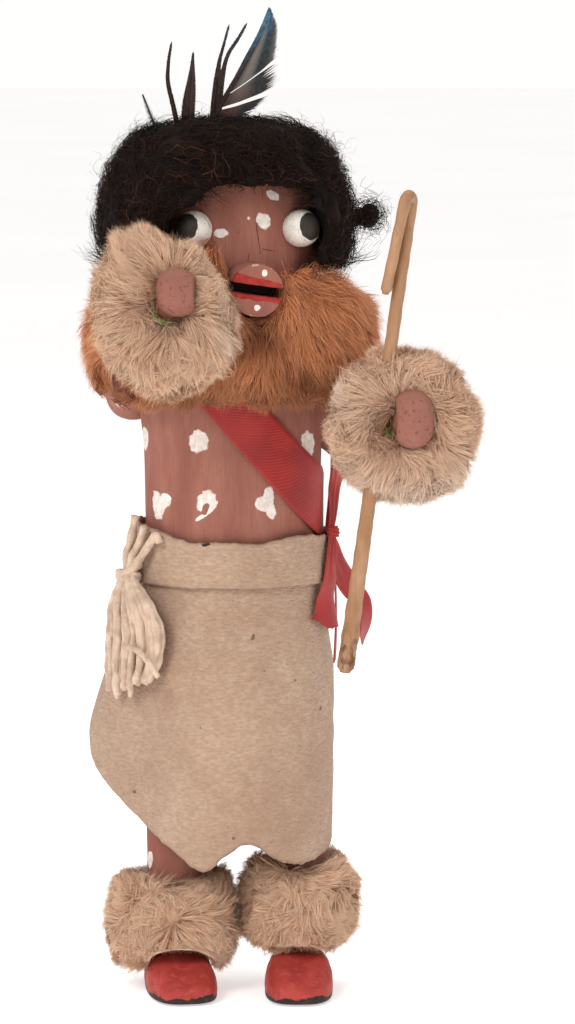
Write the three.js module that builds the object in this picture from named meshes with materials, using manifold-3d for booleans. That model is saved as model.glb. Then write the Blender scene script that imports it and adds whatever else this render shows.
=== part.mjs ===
// A carved and dressed kachina doll: painted wood, a wool wig with feathers, fur trims, a leather kilt,
// a ribbon sash, a yarn tassel and a wooden crook.
// Sizes are in millimetres and +Z is up. The doll faces -Y, so its right hand is at -X.
// The origin is the middle of the doll's own box, at the height of its soles.

import * as THREE from 'three';
import { mergeVertices } from 'three/addons/utils/BufferGeometryUtils.js';
import Module from 'manifold-3d';

const wasm = await Module();
wasm.setup();

// Fits
const gap = 0.35; // air between two pieces that touch

// Carved figure. Its pose and carving are kept as percent of its height.
const figureHeight = 227; // from the soles to the crown
const torsoHalfWidth = 24;
const torsoDepthShare = 0.86;
const headHalfWidth = 23;
const headDepthShare = 0.95;
const neckRadius = 15;
const legRadius = 7.6;
const legSpacing = 33.4; // between the two leg axes
const legShift = 1; // of the middle between the legs, towards the doll's left
const headTurn = 12; // degrees, towards the doll's left

// Face
const eyeRadius = 5;
const eyeSpread = 36; // degrees from the nose line
const eyeStandOut = 2; // from the wood to the middle of the ball
const mouthRadius = 6.9;
const mouthLength = 12.5; // in front of the wood
const mouthSlotHeight = 2.6;
const mouthSlotDepth = 9;
const mouthRoll = 8; // degrees
const mouthEdge = 0.8; // chamfer of the front rim

// Moccasins
const footLength = 37;
const footWidth = 18.4;
const footSetBack = 8; // from the middle of the sole to the leg axis
const ankleHeight = 11; // where the leg meets the moccasin
const toeHeight = 6.6;

// Arms, hands and the yarn at the wrists
const upperArmRadius = 6.4;
const wristRadius = 4.6;
const fistHalfWidth = 5.7;
const fistHalfDepth = 5.2;
const yarnRadius = 0.8;

// Crook that the left hand holds
const crookRadius = 1.7;
const crookFootRadius = 2.15;
const crookReturnRadius = 1.45;
const crookBend = 2.15; // radius of the hooked end
const crookReturn = 23; // length of the hooked end, below the bend

// Fur
const cuffRadius = 20.2;
const cuffThickness = 21;
const cuffSetBack = 10.5; // from the middle of the fist to the middle of the cuff
const ankletHalfHeight = 12.4;
const collarHalfWidth = 40;
const collarDepthShare = 0.84;
const collarHeight = 36;
const tuftDepth = 0.9;

// Wig and feathers
const wigHalfWidth = 34.6;
const wigDepthShare = 0.92;
const wigHeight = 40.2;
const wigCover = 7; // thickness of wool on the crown
const wigShift = -1.6; // towards the doll's right
const wigLockRadius = 4.6;
const faceHalfWidth = 18.2;
const featherThickness = 0.6;
const featherDepth = 4; // of the quill in the wool

// Leather
const kiltThickness = 1.1;
const kiltLength = 83.4; // from its upper edge to its lowest point
const kiltEase = 2.5; // how much wider than the torso it hangs
const kiltFlare = 10.5; // how far the open corner stands out
const beltThickness = 1.1;
const beltWidth = 13.4;

// Ribbon sash
const ribbonWidth = 12.7;
const ribbonThickness = 0.6;
const ribbonTilt = 58; // degrees above level, across the chest
const shoulderTilt = 38; // and on the shoulder
const knotRadius = 3;

// Yarn tassel
const tasselYarnRadius = 2.1;
const tasselKnotRadius = 4.2;
const tasselLength = 29;

const up = new THREE.Vector3(0, 0, 1);
const forward = new THREE.Vector3(0, -1, 0);
const radians = THREE.MathUtils.degToRad;
const clamp = THREE.MathUtils.clamp;
const mix = THREE.MathUtils.lerp;
const smooth = THREE.MathUtils.smoothstep;
const level = (percent) => (figureHeight * percent) / 100;
const pose = (x, y, z) => new THREE.Vector3(level(x), level(y), level(z));

const waistHeight = level(51);
const kiltTop = level(52.4);
const beltFoot = kiltTop - beltWidth * 0.7;
const collarFoot = level(68.9);
const mouthLevel = level(83.5);
const eyeLevel = level(90.2);
const hairlineLevel = level(95.2);
const wigTop = figureHeight + wigCover;
const wigFoot = wigTop - wigHeight;

// A smooth curve through [position, value] pairs, read at any position.
function through(pairs, at) {
  const last = pairs.length - 1;
  if (at <= pairs[0][0]) return pairs[0][1];
  if (at >= pairs[last][0]) return pairs[last][1];
  const i = pairs.findIndex((pair) => pair[0] > at) - 1;
  const slope = (k) => {
    const before = pairs[Math.max(k - 1, 0)];
    const after = pairs[Math.min(k + 1, last)];
    return (after[1] - before[1]) / (after[0] - before[0]);
  };
  const span = pairs[i + 1][0] - pairs[i][0];
  const rise = pairs[i + 1][1] - pairs[i][1];
  const t = (at - pairs[i][0]) / span;
  const bow = span * t * (1 - t) * (slope(i) * (1 - t) - slope(i + 1) * t);
  return pairs[i][1] + rise * t * t * (3 - 2 * t) + bow;
}

// Moves each vertex of a geometry by a function that gives its new place.
function shaped(geometry, place) {
  const position = geometry.getAttribute('position');
  for (let i = 0; i < position.count; i++) {
    const moved = place(new THREE.Vector3().fromBufferAttribute(position, i));
    position.setXYZ(i, moved.x, moved.y, moved.z);
  }
  return geometry;
}

// A manifold-3d solid from a closed three.js geometry.
function solidOf(geometry) {
  const bare = geometry.clone();
  bare.deleteAttribute('normal');
  bare.deleteAttribute('uv');
  const merged = mergeVertices(bare, 1e-4);
  const vertProperties = new Float32Array(merged.getAttribute('position').array);
  const triVerts = new Uint32Array(merged.index.array);
  const build = () => new wasm.Manifold(new wasm.Mesh({ numProp: 3, vertProperties, triVerts }));
  const made = build();
  if (made.volume() > 0) return made;
  triVerts.reverse();
  return build();
}

// A named three.js mesh from a solid.
function meshOf(name, solid, material) {
  const made = solid.getMesh();
  const places = new Float32Array(made.numVert * 3);
  for (let i = 0; i < made.numVert; i++) {
    const start = i * made.numProp;
    places.set(made.vertProperties.subarray(start, start + 3), i * 3);
  }
  const indexed = new THREE.BufferGeometry();
  indexed.setAttribute('position', new THREE.BufferAttribute(places, 3));
  indexed.setIndex(new THREE.BufferAttribute(new Uint32Array(made.triVerts), 1));
  const geometry = indexed.toNonIndexed();
  geometry.computeVertexNormals();
  const mesh = new THREE.Mesh(geometry, material);
  mesh.name = name;
  return mesh;
}

// A closed tube along a curve. radiusAt gives its radius from 0 at the start to 1 at the end.
function tube(curve, radiusAt, sides, steps) {
  const frames = curve.computeFrenetFrames(steps, false);
  return solidOf(
    shaped(new THREE.CylinderGeometry(1, 1, 1, sides, steps), (p) => {
      const along = clamp(p.y + 0.5, 0, 1);
      const step = Math.round(along * steps);
      const reach = radiusAt(along);
      return curve
        .getPointAt(along)
        .addScaledVector(frames.normals[step], p.x * reach)
        .addScaledVector(frames.binormals[step], p.z * reach);
    })
  );
}

// A closed sheet: place gives the point for across and along from 0 to 1 and a side from -0.5 to 0.5.
function sheet(acrossSteps, alongSteps, place) {
  const geometry = new THREE.BoxGeometry(1, 1, 1, acrossSteps, alongSteps, 1);
  return solidOf(shaped(geometry, (p) => place(p.x + 0.5, p.y + 0.5, p.z)));
}

// A solid turned about +Z from [radius, height] pairs. bend moves its points afterwards.
function turned(outline, segments, bend = (p) => p) {
  const profile = outline.map(([radius, height]) => new THREE.Vector2(radius, height));
  const geometry = new THREE.LatheGeometry(profile, segments).rotateX(Math.PI / 2);
  return solidOf(shaped(geometry, bend));
}

// A closed band round +Z. place gives the point for an angle, a height share and an inner or outer face.
function band(segments, rows, place) {
  const outline = [];
  for (let i = 0; i <= rows; i++) outline.push([2, i / rows]);
  for (let i = rows; i >= 0; i--) outline.push([1, i / rows]);
  outline.push(outline[0]);
  return turned(outline, segments, (p) =>
    place(Math.atan2(p.x, -p.y), p.z, Math.round(Math.hypot(p.x, p.y)) - 1)
  );
}

function ball(centre, halfSizes, segments) {
  const geometry = new THREE.SphereGeometry(1, segments, Math.round(segments * 0.7));
  return solidOf(geometry.scale(...halfSizes).translate(centre.x, centre.y, centre.z));
}

// Moves a solid that was built about +Z, so that +Z points along direction from place.
function aimed(solid, place, direction) {
  const turn = new THREE.Quaternion().setFromUnitVectors(up, direction.clone().normalize());
  const matrix = new THREE.Matrix4().compose(place, turn, new THREE.Vector3(1, 1, 1));
  return solid.transform(matrix.elements);
}

const cutBy = (solid, ...cutters) => cutters.reduce((made, cutter) => made.subtract(cutter), solid);

// Carved figure

const figureProfile = [
  [25.6, torsoHalfWidth * 0.88],
  [29, torsoHalfWidth * 0.95],
  [41.5, torsoHalfWidth * 0.94],
  [51, torsoHalfWidth * 0.93],
  [55, torsoHalfWidth * 0.97],
  [64.5, torsoHalfWidth * 0.99],
  [69.5, torsoHalfWidth * 1.04],
  [73.1, torsoHalfWidth * 1.04],
  [75.8, torsoHalfWidth * 0.94],
  [77.5, (torsoHalfWidth + neckRadius) / 2],
  [79, neckRadius],
  [80.6, neckRadius * 1.1],
  [82.4, headHalfWidth * 0.92],
  [86, headHalfWidth],
  [92, headHalfWidth * 0.99],
  [96.5, headHalfWidth * 0.88],
  [98.7, headHalfWidth * 0.66],
  [99.65, headHalfWidth * 0.36],
];
const crotch = level(figureProfile[0][0]);
const shoulder = level(75.8);
const chin = level(80.6);

const figureRadius = (height) => through(figureProfile, (height / figureHeight) * 100);
const figureDepthShare = (height) =>
  mix(torsoDepthShare, headDepthShare, smooth(height, shoulder, chin));

// The torso, neck and head, larger all round by grow.
function trunk(grow = 0) {
  const bare = figureProfile.map(([percent, radius]) => new THREE.Vector2(radius, level(percent)));
  const ends = [new THREE.Vector2(0, crotch), new THREE.Vector2(0, figureHeight)];
  const outline = bare.map((place, i) => {
    const before = bare[i - 1] ?? ends[0];
    const after = bare[i + 1] ?? ends[1];
    const along = after.clone().sub(before).normalize();
    return [place.x + along.y * grow, place.y - along.x * grow];
  });
  outline.unshift([0, crotch - grow]);
  outline.push([0, figureHeight + grow]);
  return turned(outline, 22, (p) => {
    const reach = Math.hypot(p.x, p.y);
    const depth = (reach - grow) * figureDepthShare(p.z) + grow;
    return reach > grow ? p.setY((p.y / reach) * depth) : p;
  });
}

const legX = (side) => legShift + (side * legSpacing) / 2;

function legs(grow = 0) {
  const top = crotch + legRadius;
  const foot = ankleHeight - grow;
  const radius = legRadius + grow;
  const leg = (x) =>
    solidOf(
      new THREE.CylinderGeometry(radius, radius, top - foot, 12)
        .rotateX(Math.PI / 2)
        .translate(x, 0, (top + foot) / 2)
    );
  return leg(legX(-1)).add(leg(legX(1)));
}

const figure = (grow = 0) => trunk(grow).add(legs(grow));

// The way that the face looks, turned by some degrees from the nose line.
const facing = (degrees = 0) => forward.clone().applyAxisAngle(up, radians(headTurn + degrees));

// How far the wood of the head reaches from its axis, in a level direction.
function headReach(direction, height) {
  const radius = figureRadius(height);
  return 1 / Math.hypot(direction.x / radius, direction.y / (radius * figureDepthShare(height)));
}

function eye(side, grow = 0) {
  const way = facing(side * eyeSpread);
  const centre = way.clone().multiplyScalar(headReach(way, eyeLevel) + eyeStandOut);
  const radius = eyeRadius + grow;
  return ball(centre.setZ(eyeLevel), [radius, radius, radius], 10);
}

function mouth(grow = 0) {
  const way = facing();
  const root = headReach(way, mouthLevel) - mouthRadius;
  const length = mouthRadius + mouthLength + grow;
  const radius = mouthRadius + grow;
  const outline = [
    [0, 0],
    [radius, 0],
    [radius, length - mouthEdge],
    [radius - mouthEdge, length],
    [0, length],
  ];
  const body = turned(outline, 20);
  const slot = new THREE.BoxGeometry(mouthSlotHeight, radius * 3, mouthSlotDepth * 2)
    .rotateZ(radians(-mouthRoll))
    .translate(0, 0, length);
  const down = up.clone().negate();
  const placed = new THREE.Matrix4()
    .makeBasis(down, new THREE.Vector3().crossVectors(way, down), way)
    .setPosition(way.x * root, way.y * root, mouthLevel);
  return (grow ? body : body.subtract(solidOf(slot))).transform(placed.elements);
}

// The two sides of the doll. sign is -1 for its right and 1 for its left.

const sides = {
  right: {
    sign: -1,
    elbowOut: 3.5,
    elbow: pose(0, 0.4, 70.3),
    fist: pose(-5.8, -22.9, 83.8),
    fistHalfHeight: 6.4,
    cuffTilt: 0.22,
    cuffStretch: 1.14,
    toeIn: 10,
    ankletRadius: 19,
    ankletMiddle: 18.4,
  },
  left: {
    sign: 1,
    elbowOut: 11.5,
    elbow: pose(0, 0.4, 63.9),
    fist: pose(20.6, -21.6, 69.5),
    fistHalfHeight: 7.8,
    cuffTilt: 0.05,
    cuffStretch: 1,
    toeIn: 5,
    ankletRadius: 16.6,
    ankletMiddle: 23,
  },
};
for (const arm of Object.values(sides)) arm.elbow.x = arm.sign * (torsoHalfWidth + arm.elbowOut);
const forearmWay = (arm) => arm.fist.clone().sub(arm.elbow).normalize();

// Moccasins

const soleLayers = [
  [0, 0.95],
  [0.1, 1],
  [0.32, 1],
  [0.62, 0.96],
  [0.86, 0.82],
  [1, 0.62],
];

function moccasin(foot, grow = 0) {
  const rows = soleLayers.length - 1;
  const turn = radians(-foot.sign * foot.toeIn);
  const middle = forward.clone().applyAxisAngle(up, turn).multiplyScalar(footSetBack);
  middle.x += legX(foot.sign);
  return solidOf(
    shaped(new THREE.CylinderGeometry(1, 1, 1, 18, rows), (p) => {
      const [rise, share] = soleLayers[Math.round((p.y + 0.5) * rows)];
      const reach = Math.hypot(p.x, p.z);
      const angle = Math.atan2(p.x, p.z);
      const [ahead, aside] = [Math.cos(angle), Math.sin(angle)];
      const square = reach / (Math.abs(ahead) ** 3 + Math.abs(aside) ** 3) ** (1 / 3);
      const heelNarrowing = 1 - 0.14 * smooth(-ahead, -0.3, 1);
      const x = aside * square * share * (footWidth / 2) * heelNarrowing;
      const y = -ahead * square * share * (footLength / 2);
      const toes = smooth(-y, footLength * -0.05, footLength * 0.5);
      const height = mix(ankleHeight - gap, toeHeight, toes) + grow;
      const local = new THREE.Vector3(x, y, 0);
      local.setLength(local.length() + grow).applyAxisAngle(up, turn);
      return local.add(middle).setZ(rise * height);
    })
  );
}

// Arms and hands

function armOnly(arm, grow = 0) {
  const root = new THREE.Vector3(arm.sign * torsoHalfWidth * 0.4, 1, shoulder - upperArmRadius);
  const line = new THREE.CatmullRomCurve3([root, arm.elbow, arm.fist], false, 'centripetal');
  return tube(line, (t) => mix(upperArmRadius, wristRadius, smooth(t, 0.3, 0.9)) + grow, 8, 8);
}

// A mitten-like fist with a flat inner side.
function fist(arm, grow = 0) {
  const halves = [fistHalfWidth + grow, fistHalfDepth + grow, arm.fistHalfHeight + grow];
  const flatAt = fistHalfWidth * 0.78 + grow;
  const geometry = new THREE.SphereGeometry(1, 10, 7).scale(...halves);
  return solidOf(
    shaped(geometry, (p) => {
      p.x = arm.sign < 0 ? Math.min(p.x, flatAt) : Math.max(p.x, -flatAt);
      return p.add(arm.fist);
    })
  );
}

const wholeArm = (arm, grow = 0) => armOnly(arm, grow).add(fist(arm, grow));

// A ring of dyed yarn tied round the wrist, just behind the fist.
function wristYarn(arm, grow = 0) {
  const way = forearmWay(arm);
  const ring = new THREE.TorusGeometry(wristRadius + 2 * gap + yarnRadius, yarnRadius + grow, 5, 12);
  const back = fistHalfDepth + yarnRadius + 2 * gap;
  return aimed(solidOf(ring), arm.fist.clone().addScaledVector(way, -back), way);
}

// Crook. Its hooked end is bent back close in front of the shaft.

function crook(grow = 0) {
  const fist = sides.left.fist;
  const top = fist.clone().add(pose(-0.3, 1.8, 24));
  const foot = fist.clone().add(pose(-7.6, 2.6, -29.2));
  const down = foot.clone().sub(top).normalize();
  const back = new THREE.Vector3(-0.45, -1, 0).normalize();
  const shaftSteps = 5;
  const line = [];
  for (let i = 0; i < shaftSteps; i++) line.push(foot.clone().lerp(top, i / shaftSteps));
  const arcSteps = 6;
  for (let i = 0; i <= arcSteps; i++) {
    const angle = (Math.PI * i) / arcSteps;
    const place = top.clone().addScaledVector(back, crookBend * (1 - Math.cos(angle)));
    line.push(place.addScaledVector(down, -crookBend * Math.sin(angle)));
  }
  const end = line[line.length - 1].clone().addScaledVector(down, crookReturn);
  line.push(end.add(new THREE.Vector3(-crookBend, crookBend, 0).multiplyScalar(0.75)));
  const curve = new THREE.CatmullRomCurve3(line, false, 'centripetal');
  const total = curve.getLength();
  const radiusAt = (t) => {
    const hook = smooth(t * total, total - crookReturn * 1.3, total - crookReturn * 0.7);
    const shaft = mix(crookFootRadius, crookRadius, smooth(t, 0, 0.5));
    const fromEnd = Math.min(t, 1 - t) * total;
    const round = Math.sqrt(clamp(fromEnd / crookRadius, 0.3, 1));
    return mix(shaft, crookReturnRadius, hook) * round + grow;
  };
  return tube(curve, radiusAt, 6, 32);
}

// Fur

// Pushes a point of a turned ring out or in, as the tufts of fur lie.
function tufted(p, count, depthShare = 1) {
  const angle = Math.atan2(p.y, p.x);
  const reach = Math.hypot(p.x, p.y);
  const swell =
    0.6 * Math.sin(count * angle + 1.7 * Math.sin(p.z * 0.35)) +
    0.4 * Math.sin((count + 4) * angle - p.z * 0.5);
  const push = tuftDepth * swell * smooth(reach, legRadius, legRadius * 2);
  return new THREE.Vector3(
    Math.cos(angle) * (reach + push),
    Math.sin(angle) * (reach + push) * depthShare,
    p.z + push * 0.5
  );
}

function cuffShape(arm, grow = 0) {
  const reach = cuffRadius + grow;
  const half = cuffThickness / 2 + grow;
  const core = wristRadius * 0.5;
  const outline = [
    [core, half * -0.5],
    [reach * 0.55, half * -0.95],
    [reach * 0.88, half * -0.75],
    [reach, half * 0.1],
    [reach * 0.82, half * 0.9],
    [reach * 0.55, half],
    [reach * 0.34, half * 0.62],
    [core, half * 0.3],
    [core, half * -0.5],
  ];
  const look = new THREE.Vector3(0, -1, arm.cuffTilt);
  const middle = arm.fist.clone().addScaledVector(forearmWay(arm), -cuffSetBack);
  const bend = (p) => {
    const moved = tufted(p, 6);
    return moved.setY(moved.y * arm.cuffStretch);
  };
  return aimed(turned(outline, 16, bend), middle, look);
}

function ankletShape(leg) {
  const reach = leg.ankletRadius;
  const half = ankletHalfHeight;
  const core = legRadius * 0.5;
  const outline = [
    [core, half * -0.8],
    [reach * 0.75, -half],
    [reach * 0.96, half * -0.6],
    [reach * 0.98, half * 0.5],
    [reach * 0.8, half],
    [core, half * 0.85],
    [core, half * -0.8],
  ];
  const inner = legSpacing / 2 - gap;
  return turned(outline, 16, (p) => {
    const moved = tufted(p, 5);
    moved.x = leg.sign > 0 ? Math.max(moved.x, -inner) : Math.min(moved.x, inner);
    return moved.add(new THREE.Vector3(legX(leg.sign), 0, leg.ankletMiddle));
  });
}

function collarShape(grow = 0) {
  const reach = collarHalfWidth + grow;
  const at = (share) => collarFoot + collarHeight * share;
  const core = neckRadius * 0.6;
  const outline = [
    [core, at(0.3)],
    [torsoHalfWidth * 1.05, at(0) - grow],
    [reach * 0.84, at(0.07) - grow],
    [reach * 0.97, at(0.3)],
    [reach, at(0.58)],
    [reach * 0.93, at(0.8) + grow],
    [headHalfWidth * 1.12, at(1) + grow],
    [core, at(0.95) + grow],
    [core, at(0.3)],
  ];
  return turned(outline, 24, (p) => tufted(p, 8, collarDepthShare));
}

// Wig and feathers

function wigShape() {
  const at = (share) => wigFoot + wigHeight * share;
  const outline = [
    [0, wigFoot],
    [wigHalfWidth * 0.92, wigFoot],
    [wigHalfWidth * 0.99, at(0.14)],
    [wigHalfWidth, at(0.38)],
    [wigHalfWidth * 0.96, at(0.58)],
    [wigHalfWidth * 0.84, at(0.78)],
    [wigHalfWidth * 0.62, at(0.92)],
    [wigHalfWidth * 0.3, at(0.99)],
    [0, wigTop],
  ];
  const body = turned(outline, 24, (p) => {
    const moved = tufted(p, 8, wigDepthShare);
    return moved.setX(moved.x + wigShift);
  });
  const lockX = wigHalfWidth + wigShift + wigLockRadius * 0.75;
  const lock = new THREE.Vector3(lockX, wigLockRadius, wigFoot + wigHeight * 0.33);
  const halves = [wigLockRadius, wigLockRadius, wigLockRadius];
  return body.add(ball(lock, halves, 8));
}

// The arch of forehead that the hair leaves bare, as a solid that runs out in front of the face.
function faceOpening() {
  const half = faceHalfWidth;
  const spring = hairlineLevel - half / 2;
  const arch = new THREE.Shape();
  arch.moveTo(-half, wigFoot - half);
  arch.lineTo(-half, spring);
  arch.quadraticCurveTo(half * -0.9, hairlineLevel, 0, hairlineLevel);
  arch.quadraticCurveTo(half * 0.9, hairlineLevel, half, spring);
  arch.lineTo(half, wigFoot - half);
  const settings = { depth: wigHalfWidth * 2, bevelEnabled: false, curveSegments: 5 };
  const geometry = new THREE.ExtrudeGeometry(arch, settings);
  return solidOf(geometry.rotateX(Math.PI / 2).rotateZ(radians(headTurn)));
}

// Each feather has a line of points from where its quill enters the wool, its half-widths from root to tip
// and how far its edges curl forward.
const feathers = {
  feather_large: {
    root: [-4, 0],
    line: [[0, 0, 0], [6, -1, 9], [11.2, -1, 19], [14.1, 0, 32]],
    widths: [[0, 0.7], [0.25, 3.2], [0.55, 4.5], [0.8, 3.2], [1, 0.4]],
    curl: 1.6,
  },
  feather_split: {
    root: [-6.4, 2.2],
    line: [[0, 0, 0], [1.2, 0, 9], [3.6, 0.3, 19], [7, 0.4, 28]],
    widths: [[0, 0.7], [0.2, 1.7], [0.5, 1.5], [0.8, 1], [1, 0.4]],
    curl: 0.4,
  },
  feather_short: {
    root: [-11.6, 0.5],
    line: [[0, 0, 0], [0.2, 0, 8], [0.6, 0.3, 14], [1, 0.5, 21]],
    widths: [[0, 0.7], [0.3, 1.8], [0.6, 1.2], [1, 0.4]],
    curl: 0.4,
  },
  feather_thin: {
    root: [-15, 2],
    line: [[0, 0, 0], [-1.6, 0, 7], [-2.6, 0.4, 13], [-1.4, 0.5, 23.5]],
    widths: [[0, 0.6], [0.3, 0.9], [0.6, 0.7], [1, 0.4]],
    curl: 0.1,
  },
  feather_stub: {
    root: [-20, 1],
    line: [[0, 0, 0], [-1.6, 0, 4], [-3.2, 0, 9]],
    widths: [[0, 0.6], [0.6, 1.1], [1, 0.4]],
    curl: 0.1,
  },
};

function feather(name, grow = 0) {
  const { root, line, widths, curl } = feathers[name];
  const foot = wigTop - featherDepth;
  const curve = new THREE.CatmullRomCurve3(
    line.map(([x, y, z]) => new THREE.Vector3(root[0] + x, root[1] + y, foot + z))
  );
  return sheet(2, 6, (across, along, side) => {
    const tangent = curve.getTangentAt(along);
    const sideways = forward.clone().cross(tangent).normalize();
    const from = 1 - across * 2;
    const ahead = curl * from * from * smooth(along, 0.1, 0.5) + side * (featherThickness + 2 * grow);
    return curve
      .getPointAt(along)
      .addScaledVector(sideways, from * (through(widths, along) + grow))
      .addScaledVector(forward, -ahead)
      .addScaledVector(tangent, along < 0.5 ? -grow : grow);
  });
}

// Leather

// How far down the kilt's natural lower edge lies, as a share of its length, by degrees from the front.
const hemShares = [
  [-112, 0.6],
  [-97, 0.67],
  [-78, 0.79],
  [-58, 0.887],
  [-38, 0.941],
  [-17, 1],
  [-5, 0.959],
  [8, 0.914],
  [22, 0.947],
  [32, 0.983],
  [52, 0.988],
  [72, 0.964],
  [92, 0.935],
  [180, 0.911],
  [262, 0.803],
];
const kiltStart = hemShares[0][0];
const kiltEnd = hemShares[hemShares.length - 1][0];
const kiltInner = figureRadius(waistHeight) + gap + kiltThickness * 0.8;

// A point of the kilt's middle surface, moved out by some millimetres.
function kiltPlace(degrees, height, out) {
  const hang = smooth(beltFoot - height, 0, 26);
  const overlap = (kiltThickness + gap) * smooth(-degrees, 55, 95) * (1 - 0.3 * hang);
  const corner = smooth(-degrees, 50, 108) * smooth(kiltTop - height, 8, kiltLength * 0.64);
  const reach = mix(kiltInner, torsoHalfWidth + kiltEase, hang) + overlap;
  const wave = 0.35 * hang * Math.sin(radians(degrees * 3 + 40)) + out;
  const width = reach + wave + kiltFlare * corner;
  const depth = reach * mix(torsoDepthShare, 0.93, hang) + wave + kiltFlare * 0.4 * corner;
  const angle = radians(degrees);
  return new THREE.Vector3(Math.sin(angle) * width, -Math.cos(angle) * depth, height);
}

function kilt(grow = 0) {
  const thickness = kiltThickness + 2 * grow;
  return sheet(36, 5, (across, along, side) => {
    const degrees = mix(kiltStart - grow * 2, kiltEnd + grow * 2, across);
    const foot = kiltTop - kiltLength * through(hemShares, degrees) - grow;
    const hung = mix(foot, beltFoot, along / 0.8);
    const height = along > 0.81 ? kiltTop + grow : hung;
    return kiltPlace(degrees, height, side * thickness);
  });
}

// How far the belt's wavy upper edge stands above or below its usual width, by degrees from the front.
const beltWaves = [
  [-180, 0],
  [-95, 3],
  [-60, 2],
  [-35, 0],
  [-5, -1.6],
  [20, -0.8],
  [45, 0.6],
  [80, -0.6],
  [130, 1],
  [180, 0],
];
const beltTop = (degrees) => beltFoot + beltWidth + through(beltWaves, degrees);

function belt(grow = 0) {
  const inner = kiltInner + kiltThickness / 2 + gap;
  return band(32, 1, (angle, share, face) => {
    const degrees = THREE.MathUtils.radToDeg(angle);
    const height = mix(beltFoot - grow, beltTop(degrees) + grow, share);
    const overKilt = (kiltThickness + gap) * smooth(-degrees, 50, 95);
    const overItself = (beltThickness + gap) * smooth(degrees, 150, 180);
    const lift = Math.max(overKilt, overItself) + (face ? beltThickness + grow : -grow);
    const reach = Math.max(inner, figureRadius(height) + gap * 2);
    const depth = reach * torsoDepthShare + gap + lift;
    return new THREE.Vector3(Math.sin(angle) * (reach + lift), -Math.cos(angle) * depth, height);
  });
}

// Ribbon sash

function isInFigure(place) {
  const radius = figureRadius(place.z);
  return Math.hypot(place.x / radius, place.y / (radius * figureDepthShare(place.z))) < 1;
}

// The point where a line from inside the chest leaves the figure, lifted off the wood.
function onFigure(from, direction, lift) {
  let [near, far] = [0, figureHeight / 3];
  for (let i = 0; i < 24; i++) {
    const tried = (near + far) / 2;
    if (isInFigure(from.clone().addScaledVector(direction, tried))) near = tried;
    else far = tried;
  }
  return from.clone().addScaledVector(direction, near + lift);
}

const slope = radians(ribbonTilt);
const sashDown = new THREE.Vector3(Math.cos(slope), 0, -Math.sin(slope));
const sashAcross = new THREE.Vector3(Math.sin(slope), 0, Math.cos(slope));
const sashMiddle = pose(0, 0, 70.9);
const sashLift = gap * 2.4;

function sashLoop(grow = 0) {
  return band(36, 1, (angle, share, face) => {
    const rise = -Math.cos(angle);
    const tilt = radians(mix(ribbonTilt, shoulderTilt, smooth(rise, 0, 1)));
    const way = new THREE.Vector3(-Math.cos(tilt), 0, Math.sin(tilt)).multiplyScalar(rise);
    way.addScaledVector(forward, Math.sin(angle));
    const gathered = 0.66 * smooth(-rise, 0.5, 1) + 0.45 * smooth(rise, 0.5, 1);
    const lift = sashLift * (1 + 3.6 * smooth(rise, 0.2, 0.85));
    const width = ribbonWidth * (1 - gathered) + 2 * grow;
    const from = sashMiddle.clone().addScaledVector(sashAcross, (share - 0.5) * width);
    return onFigure(from, way, lift + (face ? ribbonThickness + grow : -grow));
  });
}

// A flat tail of ribbon along a line of points. Its face is turned by some degrees from root to end.
function ribbonTail(line, widths, twist) {
  const curve = new THREE.CatmullRomCurve3(line);
  return sheet(1, 7, (across, along, side) => {
    const tangent = curve.getTangentAt(along);
    const turn = radians(through(twist, along));
    const flat = new THREE.Vector3(Math.cos(turn), Math.sin(turn), 0);
    flat.addScaledVector(tangent, -flat.dot(tangent)).normalize();
    const out = new THREE.Vector3().crossVectors(tangent, flat);
    return curve
      .getPointAt(along)
      .addScaledVector(flat, (across - 0.5) * through(widths, along))
      .addScaledVector(out, -side * ribbonThickness);
  });
}

// The ends are knotted at the hip and hang outside the belt and the kilt.
function ribbonSash() {
  const knot = onFigure(sashMiddle, sashDown, sashLift + knotRadius * 0.7);
  knot.z = Math.max(knot.z, beltTop(90) + knotRadius + gap);
  const beside = kiltInner + kiltThickness + beltThickness + 3 * gap - knot.x;
  const clear = Math.max(beside, torsoHalfWidth + kiltEase + kiltThickness + gap - knot.x);
  const from = (x, y, z) => new THREE.Vector3(knot.x + x, knot.y + y, knot.z + z);
  const root = from(0, 0, 0);
  const front = ribbonTail(
    [root, from(clear, -3, -6), from(clear, -7, -17), from(clear - 0.5, -9, -29)],
    [[0, 3], [0.3, 5], [1, 9]],
    [[0, -75], [1, -66]]
  );
  const back = ribbonTail(
    [root, from(clear, 5, -7), from(clear + 1.5, 9, -21), from(clear + 1, 12, -40)],
    [[0, 3], [0.3, 7], [1, 9.5]],
    [[0, 80], [1, 66]]
  );
  const swing = ribbonTail(
    [root, from(clear + 1, 3, -7), from(clear + 5, 7, -18), from(clear + 8, 9, -32)],
    [[0, 3], [0.3, 6], [1, 8]],
    [[0, 70], [1, 38]]
  );
  const halves = [knotRadius * 0.7, knotRadius, knotRadius];
  const ends = ball(knot, halves, 8).add(front).add(back).add(swing);
  return cutBy(ends, kilt(gap), belt(gap), trunk(gap)).add(sashLoop());
}

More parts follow.
